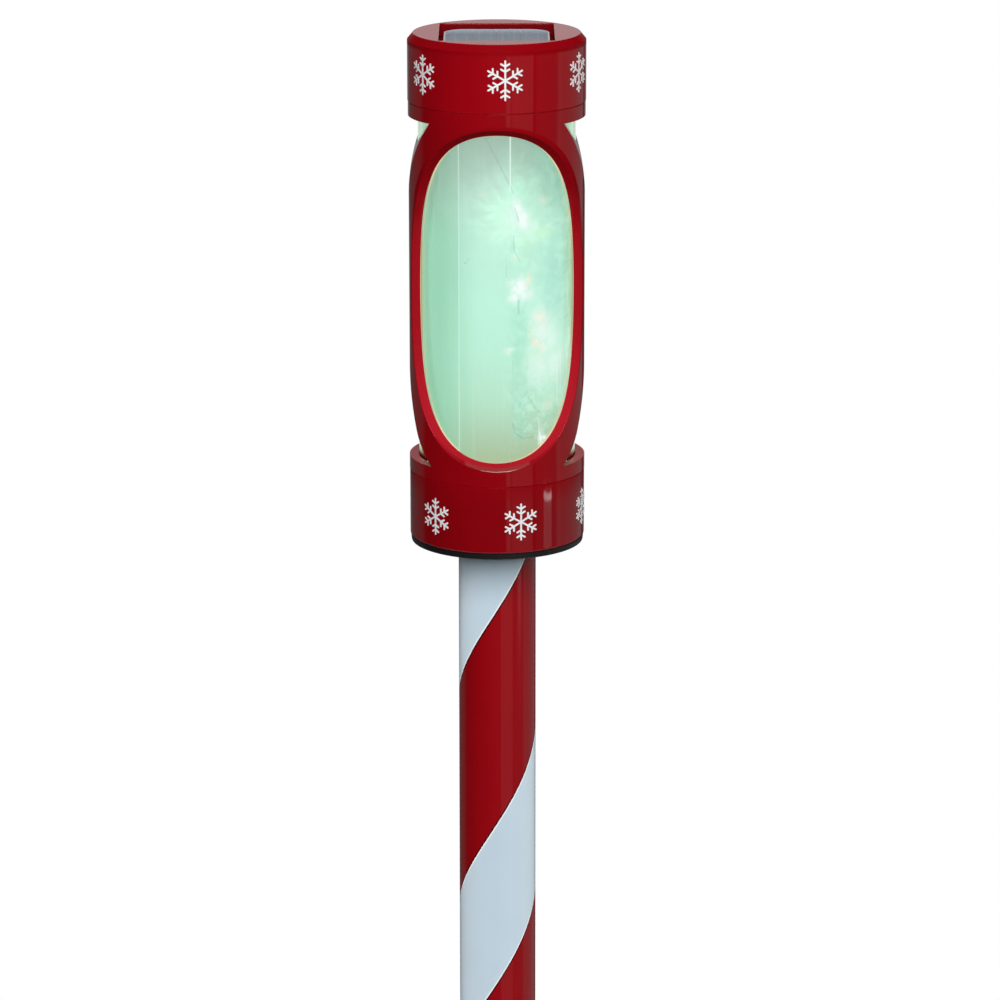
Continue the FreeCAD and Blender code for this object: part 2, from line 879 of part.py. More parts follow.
def oval_wire(radius, half_height):
    """The window's oval, wrapped on a cylinder of that radius."""
    points = []
    for index in range(window_points):
        turn = 2 * math.pi * index / window_points
        angle = math.radians(window_half_angle) * squared(math.cos(turn))
        height = cage_mid_z + half_height * squared(math.sin(turn))
        points.append(Vector(radius * math.sin(angle), -radius * math.cos(angle), height))
    curve = Part.BSplineCurve()
    curve.interpolate(Points=points, PeriodicFlag=True)
    return Part.Wire(curve.toShape())


def window_cutter():
    """A wedge whose walls point at the axis, for the front window."""
    wall = cage_radius - cage_inner_radius
    slope = (window_outer_half_height - window_inner_half_height) / wall
    near = cage_inner_radius - wall
    far = cage_radius + wall
    near_oval = oval_wire(near, window_inner_half_height - slope * wall)
    far_oval = oval_wire(far, window_outer_half_height + slope * wall)
    back_tip = Part.Vertex(0, 0, cage_mid_z)
    front_tip = Part.Vertex(0, -cage_radius * window_tip_share, cage_mid_z)
    return Part.makeLoft([back_tip, near_oval, far_oval, front_tip], True, True)


def bow_width(rise):
    """Half the cage's width at a height above its middle."""
    past = max(0, rise - bow_straight_half)
    return bow_half_width - bow_radius + math.sqrt(bow_radius ** 2 - past ** 2)


def foot_width(drop):
    """Half the cage's width at a depth under its middle: a long arc, then a tighter one that goes on from it."""
    past = max(0, min(drop, foot_turn_rise) - foot_straight_half)
    width = bow_half_width - foot_bow_radius + math.sqrt(foot_bow_radius ** 2 - past ** 2)
    if drop <= foot_turn_rise:
        return width
    tilt = math.asin(past / foot_bow_radius)
    reach = foot_turn_radius * math.sin(tilt) + drop - foot_turn_rise
    return width - foot_turn_radius * math.cos(tilt) + math.sqrt(foot_turn_radius ** 2 - reach ** 2)


def bow_cutter():
    """What is trimmed off the cage's right side, between its rings."""
    top_rise = cage_height / 2 - upper_ring_height
    foot_rise = cage_height / 2 - lower_ring_height
    outside = cage_radius + overrun
    foot_drops = [foot_rise, (foot_rise + foot_turn_rise) / 2, foot_turn_rise,
                  (foot_turn_rise + foot_straight_half) / 2, foot_straight_half]
    top_rises = [bow_straight_half, (bow_straight_half + top_rise) / 2, top_rise]
    foot = [Vector(foot_width(drop), 0, cage_mid_z - drop) for drop in foot_drops]
    top = [Vector(bow_width(rise), 0, cage_mid_z + rise) for rise in top_rises]
    low_corner = Vector(outside, 0, cage_mid_z - foot_rise)
    high_corner = Vector(outside, 0, cage_mid_z + top_rise)
    outline = Part.Wire([
        Part.makeLine(low_corner, foot[0]),
        Part.Arc(foot[0], foot[1], foot[2]).toShape(),
        Part.Arc(foot[2], foot[3], foot[4]).toShape(),
        Part.makeLine(foot[4], top[0]),
        Part.Arc(top[0], top[1], top[2]).toShape(),
        Part.makeLine(top[2], high_corner),
        Part.makeLine(high_corner, low_corner),
    ])
    face = Part.Face(outline)
    face.translate(Vector(0, -outside, 0))
    return face.extrude(Vector(0, outside * 2, 0))


def is_window_rim(edge):
    """Whether an edge is where a window meets the cage's outside."""
    if isinstance(edge.Curve, (Part.Line, Part.Circle)):
        return False
    first = edge.valueAt(edge.FirstParameter)
    middle = edge.valueAt((edge.FirstParameter + edge.LastParameter) / 2)
    on_outside = all(abs(math.hypot(p.x, p.y) - cage_radius) < running_clearance for p in (first, middle))
    inside_window = abs(edge.BoundBox.Center.z - cage_mid_z) < window_outer_half_height
    faces_front = abs(math.degrees(math.atan2(middle.x, abs(middle.y)))) < window_half_angle + edge_break
    return on_outside and inside_window and faces_front


def lantern_cage():
    """Cage: a tube with two oval windows and bowed sides."""
    lip_z = high_seam_z - lip_thickness
    tube = revolve([
        (cage_radius, low_seam_z + edge_break),
        (cage_radius, high_seam_z - edge_break),
        (cage_radius - edge_break, high_seam_z),
        (lip_inner_radius, high_seam_z),
        (lip_inner_radius, lip_z),
        (cage_inner_radius, lip_z),
        (cage_inner_radius, low_seam_z),
        (cage_radius - edge_break, low_seam_z),
    ])
    front = window_cutter()
    back = front.copy()
    back.rotate(origin, z_axis, full_turn / 2)
    tube = tube.cut([front, back])
    tube = round_edges(tube, window_edge_round, is_window_rim)
    right = bow_cutter()
    left = right.copy()
    left.rotate(origin, z_axis, full_turn / 2)
    groove = ring(tongue_radius + seat_clearance / 2, tongue_radius - tongue_width - seat_clearance / 2,
                  low_seam_z - overrun, low_seam_z + tongue_height + seat_clearance)
    return tube.cut([right, left, groove])


def lens_tube():
    """Clear tube, standing on the collar's deck."""
    high = high_seam_z - lip_thickness - seat_clearance
    return ring(lens_radius, lens_bore_radius, low_seam_z, high)


def film_edge(offset):
    """One face of the rolled film, as a spiral curve."""
    total = full_turn + film_overlap_angle
    points = []
    for index in range(film_points + 1):
        turned = total * index / film_points
        angle = math.radians(film_start_angle - turned)
        radius = film_start_radius + offset + film_growth * turned / full_turn
        points.append(Vector(radius * math.sin(angle), -radius * math.cos(angle), low_seam_z))
    curve = Part.BSplineCurve()
    curve.interpolate(points)
    return curve.toShape()


def film_liner():
    """Film rolled once round with an overlap, inside the lens tube."""
    inner = film_edge(0)
    outer = film_edge(film_thickness)
    ends = [Part.makeLine(inner.Vertexes[index].Point, outer.Vertexes[index].Point) for index in (0, -1)]
    face = Part.Face(Part.Wire(Part.__sortEdges__([inner, ends[1], outer, ends[0]])))
    return face.extrude(Vector(0, 0, high_seam_z - film_top_gap - low_seam_z))


def crumpled_film():
    """Folded strip of film that stands in the tube."""
    low = low_seam_z + reflector_thickness
    front = []
    for index in range(fold_count + 1):
        side = fold_depth / 2 if index % 2 else -fold_depth / 2
        front.append((fold_start_x + fold_pitch * index, fold_middle_y + side))
    shift = fold_thickness * math.hypot(fold_pitch, fold_depth) / fold_pitch
    back = [(x, y + shift) for x, y in reversed(front)]
    points = [Vector(x, y, low) for x, y in front + back]
    face = Part.Face(Part.makePolygon(points + points[:1]))
    return face.extrude(Vector(0, 0, fold_height))


def lower_reflector():
    """Pale disc at the foot of the films."""
    return disc(film_start_radius - reflector_gap, low_seam_z, low_seam_z + reflector_thickness)


def lower_collar():
    """Collar shell with its deck, weld tongue and screw bosses."""
    shell = revolve([
        (0, deck_underside_z),
        (0, low_seam_z),
        (collar_radius - edge_break, low_seam_z),
        (collar_radius, low_seam_z - edge_break),
        (collar_radius, collar_base_z),
        (collar_inner_radius, collar_base_z),
        (collar_inner_radius, deck_underside_z),
    ])
    shell = round_edges(shell, collar_edge_round, lambda edge: is_circle(edge, collar_radius, collar_base_z))
    tongue = ring(tongue_radius, tongue_radius - tongue_width, low_seam_z - edge_break,
                  low_seam_z + tongue_height)
    boss_base = head_base_z + plate_floor
    bosses = [disc(base_screw_radius + boss_wall, boss_base, deck_underside_z + edge_break, x, y)
              for x, y in circle_places(base_screw_circle, base_screw_count, screw_start_angle)]
    pilots = [disc(base_screw_radius, boss_base - overrun, base_screw_tip_z() + edge_break, x, y)
              for x, y in circle_places(base_screw_circle, base_screw_count, screw_start_angle)]
    return shell.fuse([tongue] + bosses).removeSplitter().cut(pilots)


def base_screw_tip_z():
    """Height that the base screws reach."""
    return head_base_z + base_screw_head_height + base_screw_length


def base_plate():
    """Black plate with a spigot for the collar and the pole's socket."""
    floor_z = head_base_z + plate_floor
    spigot = plate_spigot_radius
    spigot_top = collar_base_z + plate_spigot_height
    plate = revolve([
        (socket_radius + socket_mouth_chamfer, head_base_z),
        (plate_foot_radius, head_base_z),
        (plate_top_radius, collar_base_z),
        (spigot, collar_base_z),
        (spigot, spigot_top),
        (spigot - plate_spigot_wall, spigot_top),
        (spigot - plate_spigot_wall, floor_z),
        (socket_outer_radius, floor_z),
        (socket_outer_radius, pole_top_z + socket_ceiling),
        (0, pole_top_z + socket_ceiling),
        (0, pole_top_z),
        (socket_radius, pole_top_z),
        (socket_radius, head_base_z + socket_mouth_chamfer),
    ])
    plate = round_edges(plate, plate_edge_round, lambda edge: is_circle(edge, plate_foot_radius, head_base_z))
    cuts = []
    for x, y in circle_places(base_screw_circle, base_screw_count, screw_start_angle):
        cuts.append(disc(base_screw_radius + running_clearance, head_base_z - overrun, floor_z + overrun, x, y))
        cuts.append(disc(base_screw_head_radius + edge_break, head_base_z - overrun,
                         head_base_z + base_screw_head_height, x, y))
    return plate.cut(cuts)


def snowflake_plan(flake_radius):
    """One snowflake as a flat face in the XZ plane."""
    bars = []
    for arm in range(flake_arms):
        arm_angle = full_turn * arm / flake_arms
        bars.append(flake_bar_face(0, arm_angle, arm_angle, flake_radius - flake_bar / 2))
        for at_share in flake_branch_at_shares:
            for side in (-1, 1):
                direction = arm_angle + side * flake_branch_angle
                bars.append(flake_bar_face(flake_radius * at_share, arm_angle, direction,
                                           flake_radius * flake_branch_share))
    return bars[0].fuse(bars[1:]).removeSplitter()


def flake_bar_face(distance, arm_angle, direction, length):
    """A round-ended bar that starts on an arm and runs in a direction."""
    half = flake_bar / 2
    left = Vector(-half, 0, 0)
    left_far = Vector(-half, 0, length)
    right_far = Vector(half, 0, length)
    right = Vector(half, 0, 0)
    far_arc = Part.Arc(left_far, Vector(0, 0, length + half), right_far).toShape()
    near_arc = Part.Arc(right, Vector(0, 0, -half), left).toShape()
    face = Part.Face(Part.Wire([
        Part.makeLine(left, left_far),
        far_arc,
        Part.makeLine(right_far, right),
        near_arc,
    ]))
    face.rotate(origin, y_axis, direction)
    turn = math.radians(arm_angle)
    face.translate(Vector(distance * math.sin(turn), 0, distance * math.cos(turn)))
    return face


def snowflake_row(surface_radius, flake_radius, middle_z, offset):
    """A row of raised snowflakes round a cylinder."""
    plan = snowflake_plan(flake_radius)
    plan.translate(Vector(0, -surface_radius - overrun, middle_z))
    prism = plan.extrude(Vector(0, surface_radius, 0))
    skin = ring(surface_radius + flake_height, surface_radius, middle_z - flake_radius - overrun,
                middle_z + flake_radius + overrun)
    flake = skin.common(prism).Solids[0]
    flakes = []
    for index in range(flakes_per_row):
        copy = flake.copy()
        copy.rotate(origin, z_axis, offset + full_turn * index / flakes_per_row)
        flakes.append(copy)
    return group(flakes)


def ground_stake():
    """Plug, flange, neck and cross-bladed spike in one moulding."""
    plug_radius = pole_bore_radius - push_clearance
    plug_top = flange_height + plug_length
    body = revolve([
        (0, -neck_length),
        (neck_radius, -neck_length),
        (neck_radius, 0),
        (flange_radius, 0),
        (flange_radius, flange_height),
        (plug_radius, flange_height),
        (plug_radius, plug_top - plug_lead_in),
        (plug_radius - plug_lead_in / 2, plug_top),
        (plug_radius - plug_wall, plug_top),
        (plug_radius - plug_wall, flange_height),
        (0, flange_height),
    ])
    body = round_edges(body, flange_edge_round, lambda edge: is_circle(edge, flange_radius, flange_height))
    blade_radius = neck_radius - blade_inset
    shoulder_z = -neck_length - (stake_length - neck_length) * blade_shoulder_share
    spike = revolve([
        (0, -stake_length),
        (stake_tip_radius, -stake_length),
        (blade_radius, shoulder_z),
        (blade_radius, -neck_length + edge_break),
        (0, -neck_length + edge_break),
    ])
    half = blade_thickness / 2
    reach = neck_radius + overrun
    low = -stake_length - overrun
    along_x = block((-reach, reach), (-half, half), (low, 0))
    along_y = block((-half, half), (-reach, reach), (low, 0))
    blades = along_x.fuse(along_y)
    return body.fuse(spike.common(blades)).removeSplitter()


def pole_tube():
    """Plain tube from the stake's flange to the socket's ceiling."""
    return ring(pole_radius, pole_bore_radius, flange_height, pole_top_z)


def seal_ring():
    """Flat rubber ring let into the cover's underside."""
    return ring(seal_outer_radius, seal_inner_radius, high_seam_z, high_seam_z + seal_thickness)


def cover_screws():
    """Screws that hold the cover in the cap."""
    return group([screw_up(cover_screw_radius, cover_screw_head_radius, cover_screw_head_height,
                           cover_screw_length, high_seam_z, x, y)
                  for x, y in cover_screw_places()])


def board_screws():
    """Screws that hold the board on its posts."""
    return group([screw_down(board_screw_radius, board_screw_head_radius, board_screw_head_height,
                             board_screw_length, board_top_z, side * post_x, post_y)
                  for side in (-1, 1)])


def base_screws():
    """Screws that hold the base plate in the collar."""
    return group([screw_up(base_screw_radius, base_screw_head_radius, base_screw_head_height,
                           base_screw_length, head_base_z, x, y)
                  for x, y in circle_places(base_screw_circle, base_screw_count, screw_start_angle)])


save("solar_cap", solar_cap())
save("solar_panel", solar_panel())
save("solar_cells", solar_cells())
save("panel_pad", panel_pad())
save("upper_snowflakes", snowflake_row(cap_radius, upper_flake_radius, upper_flake_z, upper_flake_offset))
save("inner_cover", inner_cover())
save("cover_screws", cover_screws())
save("seal_ring", seal_ring())
save("circuit_board", circuit_board())
save("board_screws", board_screws())
save("driver_chip", driver_chip())
save("driver_coil", driver_coil())
save("led_lamp", led_lamp())
save("led_holder", led_holder())
save("battery_cell", battery_cell())
save("contact_plate", contact_strip(1))
save("contact_spring", contact_spring())
save("battery_door", battery_door())
save("door_pin", door_pin())
save("switch_body", switch_body())
save("switch_knob", switch_knob())
save("panel_leads", panel_leads())
save("battery_leads", battery_leads())
save("lantern_cage", lantern_cage())
save("lens_tube", lens_tube())
save("film_liner", film_liner())
save("crumpled_film", crumpled_film())
save("lower_reflector", lower_reflector())
save("lower_collar", lower_collar())
save("lower_snowflakes", snowflake_row(collar_radius, lower_flake_radius, lower_flake_z, lower_flake_offset))
save("base_plate", base_plate())
save("base_screws", base_screws())
save("pole_tube", pole_tube())
save("ground_stake", ground_stake())
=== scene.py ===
import json
import math

import bmesh
import bpy
from mathutils import Matrix, Vector, noise

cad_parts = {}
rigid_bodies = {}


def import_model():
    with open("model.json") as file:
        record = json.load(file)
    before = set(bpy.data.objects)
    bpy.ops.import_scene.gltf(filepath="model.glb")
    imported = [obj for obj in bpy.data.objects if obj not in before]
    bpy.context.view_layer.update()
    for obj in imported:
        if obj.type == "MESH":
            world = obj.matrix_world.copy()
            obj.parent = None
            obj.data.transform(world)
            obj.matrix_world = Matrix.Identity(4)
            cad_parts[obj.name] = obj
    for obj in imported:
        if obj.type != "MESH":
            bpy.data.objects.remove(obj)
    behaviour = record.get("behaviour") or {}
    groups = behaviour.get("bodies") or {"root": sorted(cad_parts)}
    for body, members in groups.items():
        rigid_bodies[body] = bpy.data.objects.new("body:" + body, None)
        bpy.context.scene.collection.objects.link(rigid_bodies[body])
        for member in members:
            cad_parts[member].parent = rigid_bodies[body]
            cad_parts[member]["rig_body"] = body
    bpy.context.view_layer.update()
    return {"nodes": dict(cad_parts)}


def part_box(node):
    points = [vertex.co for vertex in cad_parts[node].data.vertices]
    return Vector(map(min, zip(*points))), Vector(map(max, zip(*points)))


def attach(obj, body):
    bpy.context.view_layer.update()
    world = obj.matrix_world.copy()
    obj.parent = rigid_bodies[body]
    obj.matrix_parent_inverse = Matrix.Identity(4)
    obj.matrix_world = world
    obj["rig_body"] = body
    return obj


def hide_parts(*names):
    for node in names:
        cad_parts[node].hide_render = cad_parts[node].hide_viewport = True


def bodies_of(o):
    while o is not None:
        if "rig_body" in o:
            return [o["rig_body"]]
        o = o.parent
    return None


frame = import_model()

bl_info = {
    "name": "Striped garden lantern",
    "version": (1, 0, 0),
    "blender": (4, 5, 0),
    "location": "3D View > Sidebar > Lantern",
    "description": "Gives the solar stake light its pole, films, finishes and studio",
    "category": "Object",
}

MM = 0.001
TO_MM = 1000

# Flat sides of the pole's section under each colour, and steps of the sweep up its length.
RED_SIDES, WHITE_SIDES, SWEEP_STEPS = 54, 42, 144
# Whole turns that keep the stripe's climb above 0.
SPARE_TURNS = 8
# Steps round and up the rolled film, then along one fold of the inner film and up it.
ROLL_STEPS, ROLL_ROWS = 250, 150
FOLD_STEPS, FOLD_ROWS = 14, 110


def srgb(red, green, blue):
    """A colour written as 0 to 255, as the linear colour that Blender works in."""
    linear = []
    for value in (red, green, blue):
        share = value / 255
        linear.append(share / 12.92 if share <= 0.04045 else ((share + 0.055) / 1.055) ** 2.4)
    return (*linear, 1)


def length(name, description, default):
    """A length that a user may change."""
    return bpy.props.FloatProperty(name=name, description=description, default=default,
                                   subtype="DISTANCE", unit="LENGTH", precision=5)


def share(name, description, default):
    """A share from 0 to 1 that a user may change."""
    return bpy.props.FloatProperty(name=name, description=description, default=default,
                                   min=0, max=1, subtype="FACTOR")


def turn(name, description, degrees):
    """An angle that a user may change."""
    return bpy.props.FloatProperty(name=name, description=description,
                                   default=math.radians(degrees), subtype="ANGLE", unit="ROTATION")


def colour(name, description, default):
    """A colour that a user may change."""
    return bpy.props.FloatVectorProperty(name=name, description=description, default=srgb(*default),
                                         size=4, min=0, max=1, subtype="COLOR")


class LanternSizes(bpy.types.PropertyGroup):
    """Sizes of the pieces that are built here."""

    stripe_pitch: length("Stripe pitch", "Height in which the pole's stripe goes once round", 0.1805)
    stripe_share: share("Red share", "Share of the pole that the red band covers", 0.567)
    stripe_foot: length("Stripe foot", "Height of the red band's lower edge on the front line", 0.268)
    pole_wall: length("Pole wall", "Wall of the pole", 0.0012)
    film_start: turn("Film start", "Where the rolled film's inner edge lies, from the front", 11.3)
    film_overlap: turn("Film overlap", "How far the rolled film overlaps itself", 41.4)
    film_radius: length("Film radius", "Radius of the rolled film's inner edge", 0.0336)
    film_foot: length("Film foot", "Height of the rolled film's lower edge", 0.4430)
    film_growth: length("Film growth", "How much the rolled film opens in one turn", 0.00035)
    film_thickness: length("Film thickness", "Thickness of the rolled film", 0.0002)
    crease_depth: length("Crease depth", "How deep the rolled film is crumpled", 0.0011)
    fold_pitch: length("Fold pitch", "Width of one fold of the inner film", 0.0052)
    fold_wrinkle: length("Fold wrinkle", "How far the inner film's wrinkles stand out", 0.00035)
    fold_thickness: length("Fold thickness", "Thickness of the inner film", 0.0002)
    window_angle: turn("Window angle", "Half the angle that a window spans", 74.9)
    window_height: length("Window height", "Half the height of a window at the lens", 0.0743)
    window_squareness: bpy.props.FloatProperty(
        name="Window squareness", description="2 for an ellipse, more for fuller shoulders", default=2.15)
    foot_height: length("Foot height", "Height of the lantern's foot ring", 0.0065)
    floor_radius: length("Floor radius", "Radius of the pale floor", 0.75)


class LanternColours(bpy.types.PropertyGroup):
    """Colours of the finishes."""

    shell_red: colour("Shell red", "Red of the cap, cage and collar", (156, 4, 17))
    pole_red: colour("Pole red", "Red lacquer of the pole", (160, 3, 16))
    pole_white: colour("Pole white", "White lacquer of the pole", (214, 230, 240))
    ornament: colour("Ornament", "White of the snowflakes", (248, 250, 255))
    black: colour("Black", "Black of the base plate and the stake", (22, 23, 24))
    inner: colour("Inner white", "White of the carrier inside the cap", (222, 221, 214))
    resin: colour("Resin", "Resin coat of the solar panel", (103, 117, 127))
    cell: colour("Cell", "Silicon of the solar cells", (102, 117, 130))
    board: colour("Board", "Green of the circuit board", (18, 92, 48))
    # Glow and rim are painted light: the rolled film and the lens tube emit them, though neither is a
    # lamp.
    glow: colour("Glow", "Mint green of the lit film", (190, 243, 220))
    rim: colour("Rim", "Cream line round each window", (236, 212, 168))


class Signal:
    """A node socket that takes part in sums, each of which adds its own node."""

    def __init__(self, nodes, socket):
        self.nodes = nodes
        self.socket = socket

    def __add__(self, other):
        return self.nodes.math("ADD", self, other)

    def __radd__(self, other):
        return self.nodes.math("ADD", other, self)

    def __sub__(self, other):
        return self.nodes.math("SUBTRACT", self, other)

    def __rsub__(self, other):
        return self.nodes.math("SUBTRACT", other, self)

    def __mul__(self, other):
        return self.nodes.math("MULTIPLY", self, other)

    def __rmul__(self, other):
        return self.nodes.math("MULTIPLY", other, self)

    def __truediv__(self, other):
        return self.nodes.math("DIVIDE", self, other)

    def __rtruediv__(self, other):
        return self.nodes.math("DIVIDE", other, self)

    def __pow__(self, other):
        return self.nodes.math("POWER", self, other)

    def __abs__(self):
        return self.nodes.math("ABSOLUTE", self)


class Nodes:
    """A node tree while it is made, with the sums between its nodes."""

    def __init__(self, tree, output):
        self.tree = tree
        tree.nodes.clear()
        self.output = tree.nodes.new(output)

    def node(self, kind, settings={}, sockets={}):
        """Add any node: its type, then its settings, then the values or links of its sockets."""
        made = self.tree.nodes.new(kind)
        for key, value in settings.items():
            if key == "stops":
                self.set_stops(made.color_ramp, value)
            else:
                setattr(made, key, value)
        for key, value in sockets.items():
            target = made.inputs[key]
            if isinstance(value, Signal):
                self.tree.links.new(value.socket, target)
            else:
                target.default_value = value
        return made

    def set_stops(self, ramp, stops):
        """Give a ramp its stops, each a place and a colour."""
        while len(ramp.elements) < len(stops):
            ramp.elements.new(1)
        for element, (at, tint) in zip(ramp.elements, stops):
            element.position = at
            element.color = tint

    def signal(self, made, output=0):
        """One output of a node, ready for sums."""
        return Signal(self, made.outputs[output])

    def math(self, operation, *values):
        return self.signal(self.node("ShaderNodeMath", {"operation": operation}, dict(enumerate(values))))

    def point(self, kind):
        return self.signal(self.node("ShaderNodeTexCoord"), kind)

    def split(self, vector):
        made = self.node("ShaderNodeSeparateXYZ", {}, {0: vector})
        return [self.signal(made, index) for index in range(3)]

    def join(self, x, y, z=0):
        return self.signal(self.node("ShaderNodeCombineXYZ", {}, {0: x, 1: y, 2: z}))

    def step(self, value, off, on):
        """A smooth step from 0 at off to 1 at on, whichever of the two is higher."""
        made = self.node("ShaderNodeMapRange", {"interpolation_type": "SMOOTHSTEP"},
                         {"Value": value, "From Min": off, "From Max": on})
        return self.signal(made)

    def band(self, value, off, on, still, gone):
        """A mask that rises from off to on and falls from still to gone."""
        return self.step(value, off, on) * self.step(value, gone, still)

    def distance(self, aside, above):
        """The length of a line whose two legs are square to each other."""
        return self.math("SQRT", aside * aside + above * above)

    def mix(self, factor, first, second):
        made = self.node("ShaderNodeMix", {"data_type": "RGBA"}, {0: factor, 6: first, 7: second})
        return self.signal(made, 2)

    def shades(self, value, stops):
        """A colour that runs through stops."""
        return self.signal(self.node("ShaderNodeValToRGB", {"stops": stops}, {0: value}))

    def end(self, shader):
        """End the tree in a shader."""
        self.tree.links.new(shader.outputs[0], self.output.inputs["Surface"])


class Finish(Nodes):
    """A material while it is made, with its piece's own places."""

    def __init__(self, name):
        self.material = bpy.data.materials.new(name)
        self.material.use_nodes = True
        super().__init__(self.material.node_tree, "ShaderNodeOutputMaterial")
        self.place = self.point("Object")
        self.x, self.y, self.z = self.split(self.place)

    def noise(self, scale, detail=2, place=None, warp=0):
        made = self.node("ShaderNodeTexNoise", {}, {
            "Vector": place or self.place, "Scale": scale, "Detail": detail, "Distortion": warp})
        return self.signal(made)

    def cells(self, scale, feature="F1", place=None):
        made = self.node("ShaderNodeTexVoronoi", {"feature": feature}, {
            "Vector": place or self.place, "Scale": scale})
        return self.signal(made)

    def stretched(self, x, y, z):
        """The piece's own place, stretched by three factors."""
        made = self.node("ShaderNodeMapping", {}, {"Vector": self.place, "Scale": (x, y, z)})
        return self.signal(made)

    def bump(self, height, depth):
        return self.signal(self.node("ShaderNodeBump", {}, {"Height": height, "Distance": depth}))

    def shader(self, tint, roughness, height, depth, others):
        """A Principled shader: colour, roughness, height and depth of its bumps, and other sockets."""
        return self.node("ShaderNodeBsdfPrincipled", {}, {
            "Base Color": tint, "Roughness": roughness, "Normal": self.bump(height, depth), **others})

    def surface(self, *values):
        """End the material in one such shader."""
        self.end(self.shader(*values))
        return self.material

    def blended(self, factor, first, second):
        """End the material in a mix of two shaders."""
        self.end(self.node("ShaderNodeMixShader", {}, {
            0: factor, 1: self.signal(first), 2: self.signal(second)}))
        return self.material


def tinted(base, factor):
    """A colour made lighter or darker."""
    return (*[min(1, value * factor) for value in base[:3]], 1)


def window_middle():
    """Height of the windows' middle."""
    low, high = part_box("lantern_cage")
    return (low.z + high.z) / 2


def window_oval(finish, sizes):
    """How far round a window a place lies, and where it lies in the window's oval, 1 at its edge."""
    aside = abs(finish.math("ARCTAN2", finish.x, abs(finish.y))) / sizes.window_angle
    above = abs(finish.z - window_middle()) / sizes.window_height
    bend = sizes.window_squareness
    return aside, (aside ** bend + above ** bend) ** (1 / bend)


def moulded(name, base, roughness=0.3, grain=0.00001, gloss=0, fleck=0.2, places=None):
    """Moulded plastic: cloudy colour, fine grain, flow streaks, a few pale specks and places that differ.

    The places come from a function that takes the finish and gives masks, each with its colour and added
    roughness.
    """
    finish = Finish(name)
    cloud = finish.noise(38, 3)
    streak = finish.noise(260, 2, finish.stretched(1, 1, 0.06))
    fine = finish.noise(2600, 1)
    speck = finish.step(finish.noise(820, 1), 0.76, 0.80)
    speck_tint = (0.55, 0.5, 0.5, 1)
    shaded = finish.mix(cloud, tinted(base, 0.90), tinted(base, 1.12))
    shaded = finish.mix(streak * 0.18, shaded, tinted(base, 1.25))
    shaded = finish.mix(speck * fleck, shaded, speck_tint)
    rough = roughness - 0.06 + 0.05 * cloud + 0.03 * streak + 0.04 * fine
    shine = gloss * (1 - 0.12 * cloud)
    for mask, tint, dull in places(finish) if places else []:
        shaded = finish.mix(mask, shaded, tint)
        rough = rough + dull * mask
        shine = shine * (1 - mask)
    return finish.surface(shaded, rough, fine + 0.8 * streak, grain, {
        "Coat Weight": shine, "Coat Roughness": 0.03, "Specular IOR Level": 0.42 * (1 - gloss)})


def metal(name, base, brushed=(1, 1, 1), roughness=0.3):
    """Plated metal with fine brush marks and dull patches."""
    finish = Finish(name)
    marks = finish.noise(3200, 3, finish.stretched(*brushed))
    dull = finish.noise(420, 3)
    shaded = finish.mix(dull, tinted(base, 0.82), tinted(base, 1.08))
    rough = roughness - 0.1 + 0.2 * marks + 0.1 * dull
    return finish.surface(shaded, rough, marks, 0.000006, {"Metallic": 1})


def dress(nodes, finish):
    """Give CAD nodes one finish."""
    for name in nodes:
        mesh = frame["nodes"][name].data
        mesh.materials.clear()
        mesh.materials.append(finish)


def add_piece(name, shape, finishes, body, replaced):
    """Turn a finished bmesh into a piece that rides on a body and stands for a CAD node."""
    mesh = bpy.data.meshes.new(name)
    shape.to_mesh(mesh)
    shape.free()
    mesh.shade_smooth()
    piece = bpy.data.objects.new(name, mesh)
    bpy.context.scene.collection.objects.link(piece)
    for finish in finishes:
        mesh.materials.append(finish)
    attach(piece, body)
    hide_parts(replaced)
    return piece


def thicken(piece, thickness, offset):
    """Give a sheet its thickness: on its inner side where the offset is -1, on both sides at 0."""
    wall = piece.modifiers.new("wall", "SOLIDIFY")
    wall.thickness = thickness
    wall.offset = offset


def body_of(node):
    """The body that a CAD node rides on."""
    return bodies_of(frame["nodes"][node])[0]


def point_outwards(shape):
    """Make an open shell's faces point away from the pole's axis."""
    bmesh.ops.recalc_face_normals(shape, faces=shape.faces[:])
    outward = 0
    for face in shape.faces:
        middle = face.calc_center_median()
        outward += middle.x * face.normal.x + middle.y * face.normal.y
    if outward < 0:
        bmesh.ops.reverse_faces(shape, faces=shape.faces[:])


def stripe_phase(point, sizes):
    """How far up the stripe's pitch a point lies, from 0 to 1."""
    angle = math.atan2(point.x, -point.y)
    climb = (point.z - sizes.stripe_foot) / sizes.stripe_pitch
    return (climb - angle / math.tau) % 1


